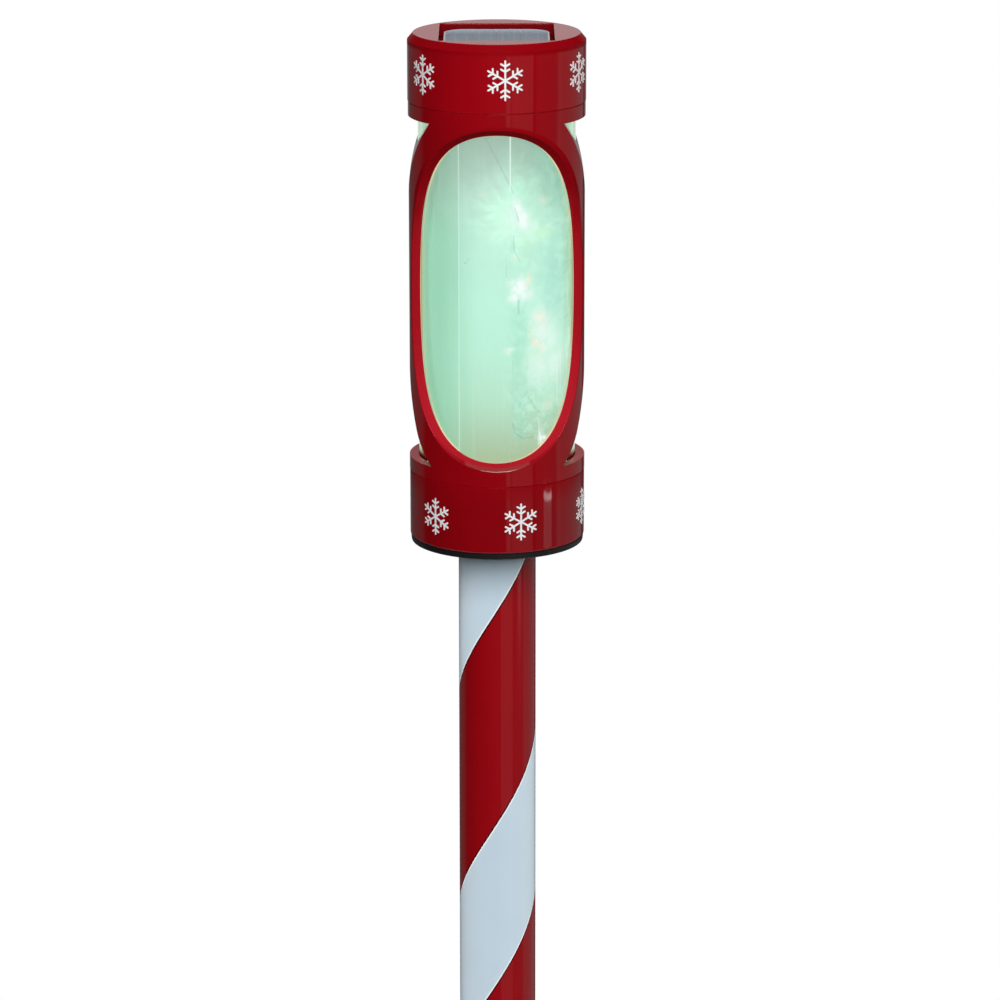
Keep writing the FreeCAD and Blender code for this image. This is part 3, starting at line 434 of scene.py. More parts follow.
def pole_shape(sizes):
    """The pole's outside as a twisted sweep, so that its faces follow the stripe's edges."""
    low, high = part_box("pole_tube")
    spare = 2 * MM
    rise = high.z - low.z + 2 * spare
    start = low.z - spare
    red_turn = math.tau * sizes.stripe_share
    near_edge = math.tau * (start - sizes.stripe_foot) / sizes.stripe_pitch
    first = near_edge - red_turn
    shape = bmesh.new()
    seed = bmesh.ops.create_vert(shape, co=(high.x * math.sin(first), -high.x * math.cos(first), start))
    last = seed["vert"]
    for angle, steps in ((red_turn, RED_SIDES), (math.tau - red_turn, WHITE_SIDES)):
        made = bmesh.ops.spin(shape, geom=last, cent=(0, 0, 0), axis=(0, 0, 1), angle=angle, steps=steps)
        last = [item for item in made["geom_last"] if isinstance(item, bmesh.types.BMVert)]
    bmesh.ops.remove_doubles(shape, verts=shape.verts[:], dist=0.01 * MM)
    bmesh.ops.spin(shape, geom=shape.edges[:] + shape.verts[:], cent=(0, 0, 0), axis=(0, 0, 1),
                   dvec=(0, 0, rise / SWEEP_STEPS), angle=math.tau * rise / sizes.stripe_pitch,
                   steps=SWEEP_STEPS)
    for height, upwards in ((low.z, -1), (high.z, 1)):
        bmesh.ops.bisect_plane(shape, geom=shape.verts[:] + shape.edges[:] + shape.faces[:],
                               plane_co=(0, 0, height), plane_no=(0, 0, upwards), clear_outer=True)
    point_outwards(shape)
    for face in shape.faces:
        red = stripe_phase(face.calc_center_median(), sizes) < sizes.stripe_share
        face.material_index = 0 if red else 1
    return shape


def lacquer(name, base, sizes, edge_tint, softness):
    """Smooth lacquer of the pole, with a fine line where the two colours meet."""
    finish = Finish(name)
    angle = finish.math("ARCTAN2", finish.x, 0 - finish.y)
    climb = (finish.z - sizes.stripe_foot) / sizes.stripe_pitch - angle / math.tau
    phase = finish.math("FRACT", climb + SPARE_TURNS)
    from_foot = finish.math("MINIMUM", phase, 1 - phase)
    to_edge = finish.math("MINIMUM", from_foot, abs(phase - sizes.stripe_share)) * sizes.stripe_pitch
    line_full, line_end = 1.05 * MM, 1.45 * MM
    line = finish.step(to_edge, line_end, line_full)
    cloud = finish.noise(26, 3)
    peel = finish.noise(900, 2)
    brush = finish.noise(300, 2, finish.stretched(1, 1, 0.05))
    shaded = finish.mix(cloud, tinted(base, 0.95), tinted(base, 1.05))
    shaded = finish.mix(brush * 0.12, shaded, tinted(base, 1.15))
    shaded = finish.mix(line, shaded, edge_tint)
    rough = 0.42 + 0.08 * cloud + 0.06 * brush
    return finish.surface(shaded, rough, peel * 0.1 + brush * 0.1 - line * 0.5, 0.00001, {
        "Coat Weight": 0.85 - 0.1 * cloud, "Coat Roughness": 0.13,
        "Specular IOR Level": 0.1, "Diffuse Roughness": softness})


class StripedPole(bpy.types.Operator):
    """Build the pole with its red and white bands"""

    bl_idname = "lantern.striped_pole"
    bl_label = "Striped pole"

    def execute(self, context):
        sizes = context.scene.lantern_sizes
        colours = context.scene.lantern_colours
        finishes = [
            lacquer("red_lacquer", colours.pole_red, sizes, tinted(colours.pole_red, 0.14), 0),
            lacquer("white_lacquer", colours.pole_white, sizes, srgb(252, 254, 255), 1),
        ]
        pole = add_piece("striped_pole", pole_shape(sizes), finishes, body_of("pole_tube"),
                         "pole_tube")
        thicken(pole, sizes.pole_wall, -1)
        return {"FINISHED"}


def crumple(point, size):
    """Depth of crumpled film at a place, from 0 to about 1, as flat facets with sharp folds."""
    near = noise.voronoi(point / size)[0]
    fine = noise.voronoi(point / (size * 0.37))[0]
    return 0.75 * min(1, near[0]) + 0.25 * min(1, fine[0])


def rolled_film_shape(sizes):
    """One sheet, rolled once round with an overlap and crumpled on the right of each window."""
    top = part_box("film_liner")[1].z
    full = math.tau + sizes.film_overlap
    crumple_start, crumple_run, smooth_end = 1 * MM, 8 * MM, 6 * MM
    facet, swell, swell_depth = 11 * MM, 14 * MM, 0.05 * MM
    shape = bmesh.new()
    bmesh.ops.create_grid(shape, x_segments=ROLL_STEPS, y_segments=ROLL_ROWS, size=0.5)
    for vertex in shape.verts:
        along, up = vertex.co.x + 0.5, vertex.co.y + 0.5
        turned = full * along
        angle = sizes.film_start - turned
        flat = Vector((math.sin(angle), -math.cos(angle), 0)) * sizes.film_radius
        flat.z = sizes.film_foot + (top - sizes.film_foot) * up
        across = flat.x if flat.y < 0 else -flat.x
        crumpled = min(1, max(0, (across - crumple_start) / crumple_run))
        at_end = min(along, 1 - along, up, 1 - up) * full * sizes.film_radius
        crumpled *= min(1, max(0, at_end / smooth_end))
        depth = sizes.crease_depth * crumpled * crumple(flat, facet)
        depth += swell_depth * (1 + noise.noise(flat / swell))
        radius = sizes.film_radius + sizes.film_growth * turned / math.tau - depth
        vertex.co = (radius * math.sin(angle), -radius * math.cos(angle), flat.z)
    bmesh.ops.recalc_face_normals(shape, faces=shape.faces[:])
    return shape


def folded_film_shape(sizes):
    """A strip folded to and fro that stands behind the rolled film."""
    low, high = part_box("crumpled_film")
    folds = round((high.x - low.x) / sizes.fold_pitch)
    margin = 0.4 * MM
    shape = bmesh.new()
    bmesh.ops.create_grid(shape, x_segments=folds * FOLD_STEPS, y_segments=FOLD_ROWS, size=0.5)
    for vertex in shape.verts:
        along, up = (vertex.co.x + 0.5) * folds, vertex.co.y + 0.5
        swing = abs((along + 1) % 2 - 1)
        point = Vector((
            low.x + margin + (high.x - low.x - 2 * margin) * along / folds,
            low.y + margin + (high.y - low.y - 2 * margin) * swing,
            low.z + (high.z - low.z) * up,
        ))
        ripple = noise.noise(point / (5 * MM)) + 0.5 * noise.noise(point / (2 * MM))
        ends = min(1, 6 * min(along, folds - along), 12 * min(swing, 1 - swing) + 0.2)
        point.y += sizes.fold_wrinkle * ripple * ends
        point.x += sizes.fold_wrinkle * ends * noise.noise(point / (7 * MM) + Vector((9, 0, 0)))
        vertex.co = point
    bmesh.ops.recalc_face_normals(shape, faces=shape.faces[:])
    return shape


# Spots of painted highlight (white and peach) and painted glow (lime) on the rolled film as seen through
# a window, in millimetres from the window's middle: across to the right, upwards, half width, half
# height, tilt in degrees, strength.
WHITE_PATCHES = (
    (10.2, 5.2, 3.2, 4.4, -16, 1),
    (7.6, 1.2, 2.4, 2.6, 0, 0.8),
    (12, 1.6, 2.4, 2.8, 20, 0.75),
    (6.8, 7.4, 1.9, 2.2, 0, 0.5),
    (9.2, 41.4, 2.1, 3.4, 16, 1),
    (11.3, 36, 2.7, 5.2, 16, 1),
    (7.2, 37, 3.6, 6.4, 0, 0.40),
    (14.6, 33, 4.6, 2.2, 0, 0.35),
    (18.6, -9, 3.6, 4.6, 0, 0.50),
    (19.8, -15.5, 4.2, 7, 8, 0.55),
    (24, -19, 3.8, 10, 4, 0.40),
    (20.4, -23, 2.6, 3, 0, 0.50),
    (5.8, -22.6, 2.2, 1.2, 0, 0.45),
    (14.6, 2, 2.4, 3.2, 0, 0.5),
    (18.5, -31, 6, 9, 0, 0.45),
    (25, -30, 5, 10, 0, 0.40),
    (19.2, -64.8, 0.8, 3.4, 0, 0.95),
    (20.8, -64.6, 1.2, 2, 24, 0.9),
)
PEACH_PATCHES = (
    (13.7, 8.4, 0.9, 3.4, -12, 0.95),
    (19.4, -8.8, 2.2, 2.6, 10, 0.7),
    (21.4, -13, 1.8, 3, 0, 0.4),
    (16.9, -20.4, 2.2, 2.2, 0, 0.95),
    (15.4, -15, 1.2, 3.4, 0, 0.5),
    (20.4, -23, 1.6, 1.8, 0, 0.6),
    (4.4, -22.6, 1.2, 1, 0, 0.5),
    (22.5, -49.4, 1.7, 2.2, 0, 0.5),
    (20.4, 43.6, 1.6, 1.8, 0, 0.45),
    (8.2, 19.2, 1.6, 1.4, 0, 0.4),
    (-6.4, 48, 2.4, 0.8, 0, 0.35),
)
LIME_PATCHES = (
    (20.4, 29.4, 4.4, 3, 0, 0.8),
    (12.6, 26, 3.2, 3.6, 0, 0.4),
    (16, -26, 5, 6, 0, 0.3),
)
# Fine folds, drawn as lines of painted shade (dark) and painted highlight (pale): start across and up,
# end across and up, half width.
DARK_FOLDS = (
    (-4.9, 73.2, 6.5, 50.3, 0.6),
    (6.5, 50.3, 7.3, 48.2, 0.4),
    (-14.3, 16.2, -13.6, 16.7, 0.7),
    (-12.9, 17.8, -12.4, 18.2, 0.6),
    (18.4, -52, 18.4, -52.6, 0.8),
    (7.9, 41.5, 9.7, 35.4, 0.55),
    (7.5, 29, 7.3, 26.5, 0.4),
    (7.3, 26.5, 7.7, 22.3, 0.8),
    (7.7, 22.3, 10.5, 16.8, 0.35),
    (4.2, 15.7, 4.2, 10.4, 0.3),
    (9.6, -0.4, 9.6, -6.1, 0.8),
    (7.2, -27.6, 7.2, -33.6, 0.25),
    (7.2, -56.6, 7.8, -60.6, 0.7),
    (7.8, -60.6, 11.3, -63.8, 0.7),
    (11.3, -63.8, 16.4, -63.6, 0.6),
    (13.9, -45, 18, -51.7, 0.4),
)
PALE_FOLDS = (
    (18.75, -57, 18.5, -68, 0.35),
    (26.7, -28.2, 26.8, -51.3, 0.45),
    (28.1, -27.7, 28.1, -43.4, 0.3),
)


class FilmFinish(Finish):
    """The film's finish in painted glow, laid tone over tone, with a window's across and up in
    millimetres.
    """

    def __init__(self, name):
        super().__init__(name)
        self.across = self.x * self.math("SIGN", 0 - self.y) * TO_MM
        self.up = (self.z - window_middle()) * TO_MM
        self.sheet = self.join(self.across, self.up)
        self.drift = self.noise(0.30, 3, self.sheet)
        self.sparkle = self.noise(1.5, 3, self.sheet)
        self.ripple = self.noise(0.85, 2, self.join(self.across, self.up * 0.6))
        lift = self.noise(0.34, 3, self.join(self.up, self.across))
        self.warp_across = self.across + (self.drift - 0.5) * 3.4 + (self.ripple - 0.5) * 2.6
        self.warp_up = self.up + (lift - 0.5) * 4 - (self.ripple - 0.5) * 3

    def lay(self, mask, tint):
        """Lay a colour over the tone so far, where the mask is."""
        self.tone = self.mix(mask, self.tone, tint)

    def patch(self, across, up, half_width, half_height, tilt, strength):
        """A soft oval spot."""
        cosine, sine = math.cos(math.radians(tilt)), math.sin(math.radians(tilt))
        aside, above = self.warp_across - across, self.warp_up - up
        wide = (aside * cosine + above * sine) / half_width
        tall = (above * cosine - aside * sine) / half_height
        return strength * self.math("EXPONENT", 0 - (wide * wide + tall * tall))

    def fold(self, across, up, to_across, to_up, half_width):
        """A fine line between two places."""
        run, climb = to_across - across, to_up - up
        aside, above = self.across - across, self.up - up
        part = (aside * run + above * climb) / (run * run + climb * climb)
        part = self.math("MINIMUM", self.math("MAXIMUM", part, 0), 1)
        return self.step(self.distance(aside - part * run, above - part * climb), half_width, 0)

    def strongest(self, make, rows):
        """The strongest of the masks that the rows of a table make."""
        masks = [make(*row) for row in rows]
        result = masks[0]
        for mask in masks[1:]:
            result = self.math("MAXIMUM", result, mask)
        return result


def film_ground(film, sizes, glow):
    """Tones of painted glow from the film's foot to its top, and the painted shade that changes them
    towards the sides.
    """
    across, up = film.across, film.up
    film.tone = film.shades(up / 150 + 0.5, [
        (0.02, srgb(164, 190, 150)), (0.09, srgb(172, 204, 172)), (0.19, srgb(180, 226, 198)),
        (0.34, srgb(187, 239, 215)), (0.50, glow), (0.68, srgb(186, 234, 213)),
        (0.80, srgb(180, 216, 200)), (0.90, srgb(167, 196, 180)), (0.99, srgb(152, 180, 163)),
    ])
    edge_at = sizes.film_radius * TO_MM * math.sin(sizes.film_start - sizes.film_overlap)
    beyond = film.step(across, edge_at + 0.1, edge_at - 0.4) * film.step(up, -40, 20)
    film.lay(beyond * 0.30, srgb(138, 194, 170))
    left_tone = film.mix(film.step(up, 20, 60), srgb(134, 202, 166), srgb(134, 174, 150))
    film.lay(film.step(across, -5, -33) * 0.95, left_tone)
    upper_right = film.step(across, 11, 33) * film.step(up, -14, 34)
    film.lay(upper_right * 0.85, srgb(146, 210, 184))
    right = film.step(across, 22, 34) * (1 - 0.7 * film.step(up, -6, -24))
    film.lay(right * 0.75, srgb(150, 210, 172))
    cyan = film.band(across, 16, 24, 27, 31) * film.step(abs(up - 18), 40, 18)
    film.lay(cyan * 0.35, srgb(150, 212, 205))


def film_burst(film):
    """The mask of a burst of light: a bright core, and rays that fade out round it."""
    sway = (film.drift - 0.5) * 2.5
    aside, above = film.across - 8.6 + sway, film.up - 37 + sway
    reach = film.distance(aside, above)
    bearing = film.math("ARCTAN2", above, aside)
    around = film.join(film.math("COSINE", bearing), film.math("SINE", bearing), reach * 0.03)
    rays = film.step(film.noise(3.6, 4, around, 0.3) + 0.10 * film.sparkle, 0.36, 0.74)
    core = film.math("EXPONENT", 0 - (reach / 12.5) ** 2)
    halo = film.math("EXPONENT", 0 - (reach / 20) ** 2) * (0.35 + 0.8 * rays)
    return film.math("MINIMUM", core * 0.85 + halo * 0.90, 1)


def film_crumples(film):
    """The crumpled side, in painted light and shade: burst, painted shade in the dim upper corner, shaded
    facets, a shaded valley, and creases of painted shade with a painted glow beside.
    """
    across, up = film.across, film.up
    patchy = film.step(film.noise(0.17, 4, film.sheet, 0.8), 0.42, 0.66)
    facets = film.cells(0.30, "F1", film.join(film.warp_across, film.warp_up))
    facets = film.step(facets, 0.15, 0.85)
    crumpled = film.step(across, -3, 10) * film.step(abs(up - 4), 70, 48)
    light = film.math("MINIMUM", film_burst(film) + 0.30 * patchy * crumpled, 1)
    film.lay(light, srgb(206, 254, 230))
    corner = film.step(across, 1, 27) * film.step(up, 22, 50)
    film.lay(corner * 0.46, srgb(118, 166, 142))
    film.lay(crumpled * facets * 0.25, srgb(168, 230, 202))
    wander = across + (film.noise(0.10, 2, film.sheet) - 0.5) * 5
    valley = film.band(wander, 5.6, 8.8, 11.5, 15.5) * film.band(up, -68, -60, -8, 0)
    film.lay(valley * 0.30 * (0.6 + 0.8 * facets), srgb(150, 218, 192))
    ridge = abs(film.noise(0.30, 2, film.join(film.warp_across, film.warp_up * 0.7)) - 0.5)
    crease = film.step(ridge, 0.02, 0) * film.step(across, 5, 9) * film.step(up, -20, -40)
    film.lay(crease * 0.20, srgb(120, 190, 164))
    glow = film.step(ridge, 0.05, 0.14) * film.band(across, 5, 9, 20, 26)
    film.lay(glow * film.band(up, -68, -60, -46, -36) * 0.30, srgb(204, 250, 230))


def film_marks(film):
    """Painted light and shade: upright pale and dark streaks, then the tables' spots of painted highlight
    and glow and their fine folds of painted shade and highlight, and a warmer painted glow at the foot.
    """
    streaks = film.noise(1, 3, film.join(film.across * 1.1, film.up * 0.010))
    film.lay(film.step(streaks, 0.50, 0.74) * 0.10, srgb(208, 246, 228))
    film.lay(film.step(streaks, 0.50, 0.28) * 0.07, srgb(150, 214, 186))
    film.lay(film.strongest(film.patch, LIME_PATCHES) * 0.55, srgb(206, 252, 206))
    white = film.strongest(film.patch, WHITE_PATCHES) * (0.55 + 0.5 * film.sparkle + 0.6 * film.ripple)
    film.lay(film.math("MINIMUM", white, 1), srgb(244, 255, 250))
    peach = film.strongest(film.patch, PEACH_PATCHES) * (0.1 + 0.7 * film.sparkle + 0.4 * film.ripple)
    film.lay(peach, srgb(255, 236, 214))
    film.lay(film.strongest(film.fold, DARK_FOLDS) * 0.28, srgb(112, 150, 134))
    film.lay(film.step(film.up, -62, -73) * 0.06, srgb(214, 196, 158))
    film.lay(film.strongest(film.fold, PALE_FOLDS) * 0.4, srgb(240, 255, 250))


def film_edges(film, sizes):
    """Painted highlights along the sheet's ends: its outer end all the way up, its inner end near the
    top.
    """

    def line(angle, half_width, strength):
        at = sizes.film_radius * math.sin(angle) * TO_MM
        return strength * film.step(abs(film.across - at), half_width, 0)

    outer = line(sizes.film_start - sizes.film_overlap, 0.4, 0.45)
    inner = line(sizes.film_start - 0.02, 0.45, 0.95) * film.step(film.up, 47, 52)
    front = film.math("LESS_THAN", film.y, 0)
    film.lay(film.math("MAXIMUM", outer, inner) * front, srgb(236, 255, 247))


def rolled_film_finish(sizes, glow):
    """Film painted as glowing, all in painted light and shade: mint green with a burst, crumpled bright
    patches, fold lines and its own edges.
    """
    film = FilmFinish("mint_film")
    film_ground(film, sizes, glow)
    film_crumples(film)
    film_marks(film)
    film_edges(film, sizes)
    return film.surface(srgb(34, 46, 40), 0.3, film.noise(0.9, 3, film.sheet), 0.00008, {
        "Specular IOR Level": 0.3, "Emission Color": film.tone, "Emission Strength": 0.95})


def folded_film_finish():
    """Crumpled film with pearly bands, painted as glowing, with painted white highlights along its
    creases.
    """
    finish = Finish("bright_film")
    bands = finish.noise(160, 3, warp=1.2)
    creases = finish.cells(240, "DISTANCE_TO_EDGE")
    tone = finish.shades(bands, [
        (0.30, srgb(176, 236, 214)), (0.46, srgb(222, 255, 240)), (0.58, srgb(250, 244, 226)),
        (0.70, srgb(206, 232, 240)),
    ])
    tone = finish.mix(finish.step(creases, 0.06, 0), tone, srgb(255, 255, 255))
    return finish.surface(tone, 0.2 + 0.2 * bands, bands - creases, 0.00012, {
        "Metallic": 0.25, "Emission Color": tone, "Emission Strength": 0.45})


class Films(bpy.types.Operator):
    """Build the rolled mint film and the folded bright film"""

    bl_idname = "lantern.films"
    bl_label = "Films"

    def execute(self, context):
        sizes = context.scene.lantern_sizes
        glow = context.scene.lantern_colours.glow
        rolled = add_piece("rolled_film", rolled_film_shape(sizes), [rolled_film_finish(sizes, glow)],
                           body_of("film_liner"), "film_liner")
        folded = add_piece("folded_film", folded_film_shape(sizes), [folded_film_finish()],
                           body_of("crumpled_film"), "crumpled_film")
        thicken(rolled, sizes.film_thickness, 0)
        thicken(folded, sizes.fold_thickness, 0)
        return {"FINISHED"}


class LensTube(bpy.types.Operator):
    """Finish the clear tube, with a painted cream glow line where a window frames it and painted glow at
    its grazing edges
    """

    bl_idname = "lantern.lens"
    bl_label = "Lens tube"

    def execute(self, context):
        sizes = context.scene.lantern_sizes
        rim = context.scene.lantern_colours.rim
        finish = Finish("clear_tube")
        aside, oval = window_oval(finish, sizes)
        ring = finish.step(oval - 0.012 * aside, 0.994, 0.999) * finish.step(oval, 1.03, 1.02)
        warm = finish.noise(60, 2)
        cream = finish.mix(warm, tinted(rim, 0.88), tinted(rim, 1.1))
        dust = finish.step(finish.noise(1500, 2), 0.72, 0.8)
        clear = finish.shader(srgb(255, 255, 255), 0.01 + 0.05 * dust, finish.noise(90, 1), 0.00001,
                              {"Transmission Weight": 1, "IOR": 1.12})
        # Painted glow: the cream ring round each window and the tube's grazing edges emit light.
        facing = finish.signal(finish.node("ShaderNodeLayerWeight", {}, {"Blend": 0.5}), "Facing")
        edge_tone = finish.shades(facing, [
            (0.60, srgb(196, 196, 134)), (0.74, srgb(168, 208, 168)), (0.95, srgb(220, 240, 228))])
        painted_glow_shader = finish.node("ShaderNodeBsdfPrincipled", {}, {
            "Base Color": srgb(60, 80, 70), "Roughness": 0.3 + 0.1 * warm,
            "Emission Color": finish.mix(ring, edge_tone, cream), "Emission Strength": 0.9})
        filled = finish.step(finish.z, sizes.film_foot - 2 * MM, sizes.film_foot + 2 * MM)
        painted_glow_share = finish.math("MAXIMUM", finish.step(facing, 0.58, 0.84) * filled, ring * 0.85)
        dress(["lens_tube"], finish.blended(painted_glow_share, clear, painted_glow_shader))
        return {"FINISHED"}


class RedShells(bpy.types.Operator):
    """Finish the red cap, cage and collar"""

    bl_idname = "lantern.red_shells"
    bl_label = "Red shells"

    def execute(self, context):
        sizes = context.scene.lantern_sizes
        red = context.scene.lantern_colours.shell_red
        cap_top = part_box("solar_cap")[1].z
        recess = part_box("solar_panel")[1].x + 2.4 * MM
        cage_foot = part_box("lantern_cage")[0].z

        def in_recess(finish):
            """Painted shade in the recess round the panel, where little light comes in, and painted shade
            that darkens the rim's chamfer.
            """
            outward = finish.math("MAXIMUM", abs(finish.x), abs(finish.y))
            inside = finish.step(outward, recess + 0.2 * MM, recess)
            deep = finish.step(finish.z, cap_top - 0.2 * MM, cap_top - 0.8 * MM)
            chamfer = finish.band(finish.z, cap_top - 5.5 * MM, cap_top - 4 * MM,
                                  cap_top - 0.3 * MM, cap_top - 0.05 * MM)
            return [(inside * deep, tinted(red, 0.5), 0.2),
                    (chamfer * (1 - inside), tinted(red, 0.86), 0)]

        def in_collar(finish):
            """Painted light that makes the collar's upper edge paler, as if the lit window brightened it.
            """
            top = finish.step(finish.z, cage_foot - 14 * MM, cage_foot + sizes.foot_height)
            return [(top, tinted(red, 0.9), 0)]

        def in_window(finish):
            """The window's wall, duller, with painted light that makes its lower part paler and painted
            shade that darkens its upper part, and the ledge under the lantern's foot.
            """
            middle = window_middle()
            upper = finish.step(finish.z, middle + 20 * MM, middle + 50 * MM)
            wall = finish.step(window_oval(finish, sizes)[1] - 0.04 * upper, 1.03, 1.015)
            foot = finish.step(finish.z, middle - 10 * MM, middle - 65 * MM)
            # Painted light: the wall's red grows paler towards its lower part, which faces up.
            wall_red_painted_light = finish.mix(foot, srgb(160, 14, 27), srgb(180, 25, 40))
            ledge = finish.step(abs(finish.z - cage_foot - sizes.foot_height), 0.3 * MM, 0.05 * MM)
            return [(wall * (1 - upper), wall_red_painted_light, 0.3), (wall * upper, tinted(red, 0.85), 0.5),
                    (ledge * 0.5, red, 0.2)]

        # One red for all three shells: the collar's darker copy is painted shade, and the cage's copy is
        # a little darker.
        for node, name, factor, places in (("solar_cap", "red_cap", 1, in_recess),
                                           ("lantern_cage", "red_cage", 0.92, in_window),
                                           ("lower_collar", "red_collar", 0.79, in_collar)):
            dress([node], moulded(name, tinted(red, factor), roughness=0.4, grain=0.000002,
                                  gloss=0.9, fleck=0, places=places))
        return {"FINISHED"}


class Snowflakes(bpy.types.Operator):
    """Finish the two rows of raised white snowflakes"""

    bl_idname = "lantern.snowflakes"
    bl_label = "Snowflakes"

    def execute(self, context):
        white = context.scene.lantern_colours.ornament
        finish = moulded("white_ornament", white, roughness=0.42, grain=0.00001, fleck=0)
        dress(["upper_snowflakes", "lower_snowflakes"], finish)
        return {"FINISHED"}


def resin_surface(finish, back, *values):
    """End a finish in resin whose gloss fades out towards the back."""
    glossy, dull = [finish.shader(*values, {"Specular IOR Level": level}) for level in (0.16, 0)]
    return finish.blended(back, glossy, dull)


def panel_finish(base):
    """Resin-coated panel: smoky face, paler towards the back as a painted reflection, with a pale bead
    along its edge.
    """
    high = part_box("solar_panel")[1]
    finish = Finish("panel_resin")
    outward = finish.math("MAXIMUM", abs(finish.x), abs(finish.y))
    bead = finish.step(outward, high.x - 0.9 * MM, high.x - 0.35 * MM)
    haze = finish.noise(140, 3)
    ripple = finish.noise(700, 2)
    shaded = finish.mix(haze, tinted(base, 0.8), tinted(base, 1.2))
    shaded = finish.mix(bead * 0.85, shaded, srgb(196, 204, 206))
    back = finish.step(finish.y, high.y - 18 * MM, high.y - 0.5 * MM)
    # Painted reflection: paler towards the back, where the gloss fades out.
    shaded = finish.mix(back * 0.8, shaded, srgb(184, 200, 208))
    return resin_surface(finish, back, shaded, 0.22 + 0.1 * haze, ripple, 0.000001)


def cell_finish(base):
    """Silicon cells under resin: fine fingers, two bus bars for each cell, crystals, a back made paler as
    a painted reflection.
    """
    low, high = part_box("solar_cells")
    finish = Finish("cell_silicon")
    finger = finish.step(finish.math("PINGPONG", finish.y, 0.8 * MM), 0.12 * MM, 0.05 * MM)
    width = (high.x - low.x) / 4
    within = finish.math("PINGPONG", finish.x - low.x, width / 2)
    bar = finish.step(abs(within - width / 4), 0.4 * MM, 0.2 * MM)
    crystal = finish.cells(420, "F1", finish.stretched(1, 0.5, 1))
    cloud = finish.noise(90, 3)
    shaded = finish.mix(crystal, tinted(base, 0.9), tinted(base, 1.15))
    shaded = finish.mix(cloud * 0.5, shaded, tinted(base, 1.25))
    lines = finish.math("MAXIMUM", finger * 0.12, bar * 0.2)
    shaded = finish.mix(lines, shaded, srgb(164, 174, 184))
    back = finish.step(finish.y, high.y - 16 * MM, high.y + 2 * MM)
    # Painted reflection: paler towards the back, where the gloss fades out.
    shaded = finish.mix(back * 0.7, shaded, srgb(176, 192, 202))
    return resin_surface(finish, back, shaded, 0.22 + 0.1 * crystal, lines, 0.000001)


class SolarPanel(bpy.types.Operator):
    """Finish the panel, its cells and the foam pad under it"""

    bl_idname = "lantern.solar_panel"
    bl_label = "Solar panel"

    def execute(self, context):
        colours = context.scene.lantern_colours
        dress(["solar_panel"], panel_finish(colours.resin))
        dress(["solar_cells"], cell_finish(colours.cell))
        foam = Finish("foam_pad")
        pores = foam.cells(1400)
        shaded = foam.mix(pores, srgb(18, 18, 19), srgb(48, 48, 50))
        dress(["panel_pad"], foam.surface(shaded, 0.95, pores, 0.0001, {}))
        return {"FINISHED"}


def board_finish(base):
    """Green solder mask over copper tracks, with a woven ground."""
    finish = Finish("green_board")
    weave = finish.noise(5200, 1)
    made = finish.node("ShaderNodeTexBrick", {"offset": 0.5}, {
        "Vector": finish.place, "Scale": 210, "Mortar Size": 0.05, "Brick Width": 1.3,
        "Row Height": 0.55, "Mortar Smooth": 0.1,
        "Color1": (0, 0, 0, 1), "Color2": (0, 0, 0, 1), "Mortar": (1, 1, 1, 1)})
    tracks = finish.signal(made, 1)
    shaded = finish.mix(weave, tinted(base, 0.75), tinted(base, 1.2))
    shaded = finish.mix(tracks * 0.5, shaded, tinted(base, 2.2))
    return finish.surface(shaded, 0.3 + 0.15 * weave, tracks + 0.2 * weave, 0.00003, {
        "Coat Weight": 0.3, "Coat Roughness": 0.15})


def battery_finish():
    """Shrink-wrapped cell: plain blue-green sleeve between bare metal ends."""
    low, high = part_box("battery_cell")
    middle = (low + high) / 2
    finish = Finish("battery_wrap")
    across = finish.distance(finish.y - middle.y, finish.z - middle.z)
    length_in = finish.math("MINIMUM", finish.x - low.x, high.x - finish.x)
    bare = finish.math("MAXIMUM", finish.step(length_in, 1.15 * MM, 1 * MM),
                       finish.step(across, 3.75 * MM, 3.6 * MM))
    band = finish.step(abs(finish.x - high.x + 8 * MM), 1.7 * MM, 1.6 * MM)
    wrinkle = finish.noise(900, 3, finish.stretched(1, 0.3, 0.3))
    sleeve = finish.mix(wrinkle, srgb(16, 92, 104), srgb(22, 116, 128))
    sleeve = finish.mix(band, sleeve, srgb(216, 220, 214))
    shaded = finish.mix(bare, sleeve, srgb(196, 196, 192))
    return finish.surface(shaded, 0.26 + 0.14 * wrinkle, wrinkle, 0.00003, {"Metallic": bare})


def coil_finish():
    """Copper winding between two dark ferrite flanges."""
    low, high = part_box("driver_coil")
    finish = Finish("wound_coil")
    middle = (low.z + high.z) / 2
    flange = finish.step(abs(finish.z - middle), 1.6 * MM, 1.7 * MM)
    half_turn = 0.13 * MM
    turns = finish.math("PINGPONG", finish.z, half_turn) / half_turn
    # Painted shade and highlight: each turn's copper is darker in its groove and lighter on its crest.
    copper = finish.mix(turns, srgb(112, 54, 26), srgb(200, 118, 70))
    shaded = finish.mix(flange, copper, srgb(34, 34, 38))
    return finish.surface(shaded, 0.35 + 0.3 * flange, turns, 0.00008, {"Metallic": 0.8 * (1 - flange)})


def led_finish():
    """Clear resin bead that glows, on plated legs."""
    board_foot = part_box("circuit_board")[0].z
    finish = Finish("led_resin")
    leg = finish.step(finish.z, board_foot - 0.2 * MM, board_foot)
    swirl = finish.noise(1800, 2)
    bead = finish.mix(swirl, srgb(226, 240, 236), srgb(250, 255, 252))
    shaded = finish.mix(leg, bead, srgb(190, 190, 188))
    lit = finish.mix(leg, srgb(226, 255, 244), (0, 0, 0, 1))
    return finish.surface(shaded, 0.12 + 0.2 * leg, swirl, 0.00001, {
        "Metallic": leg, "Emission Color": lit, "Emission Strength": 1})


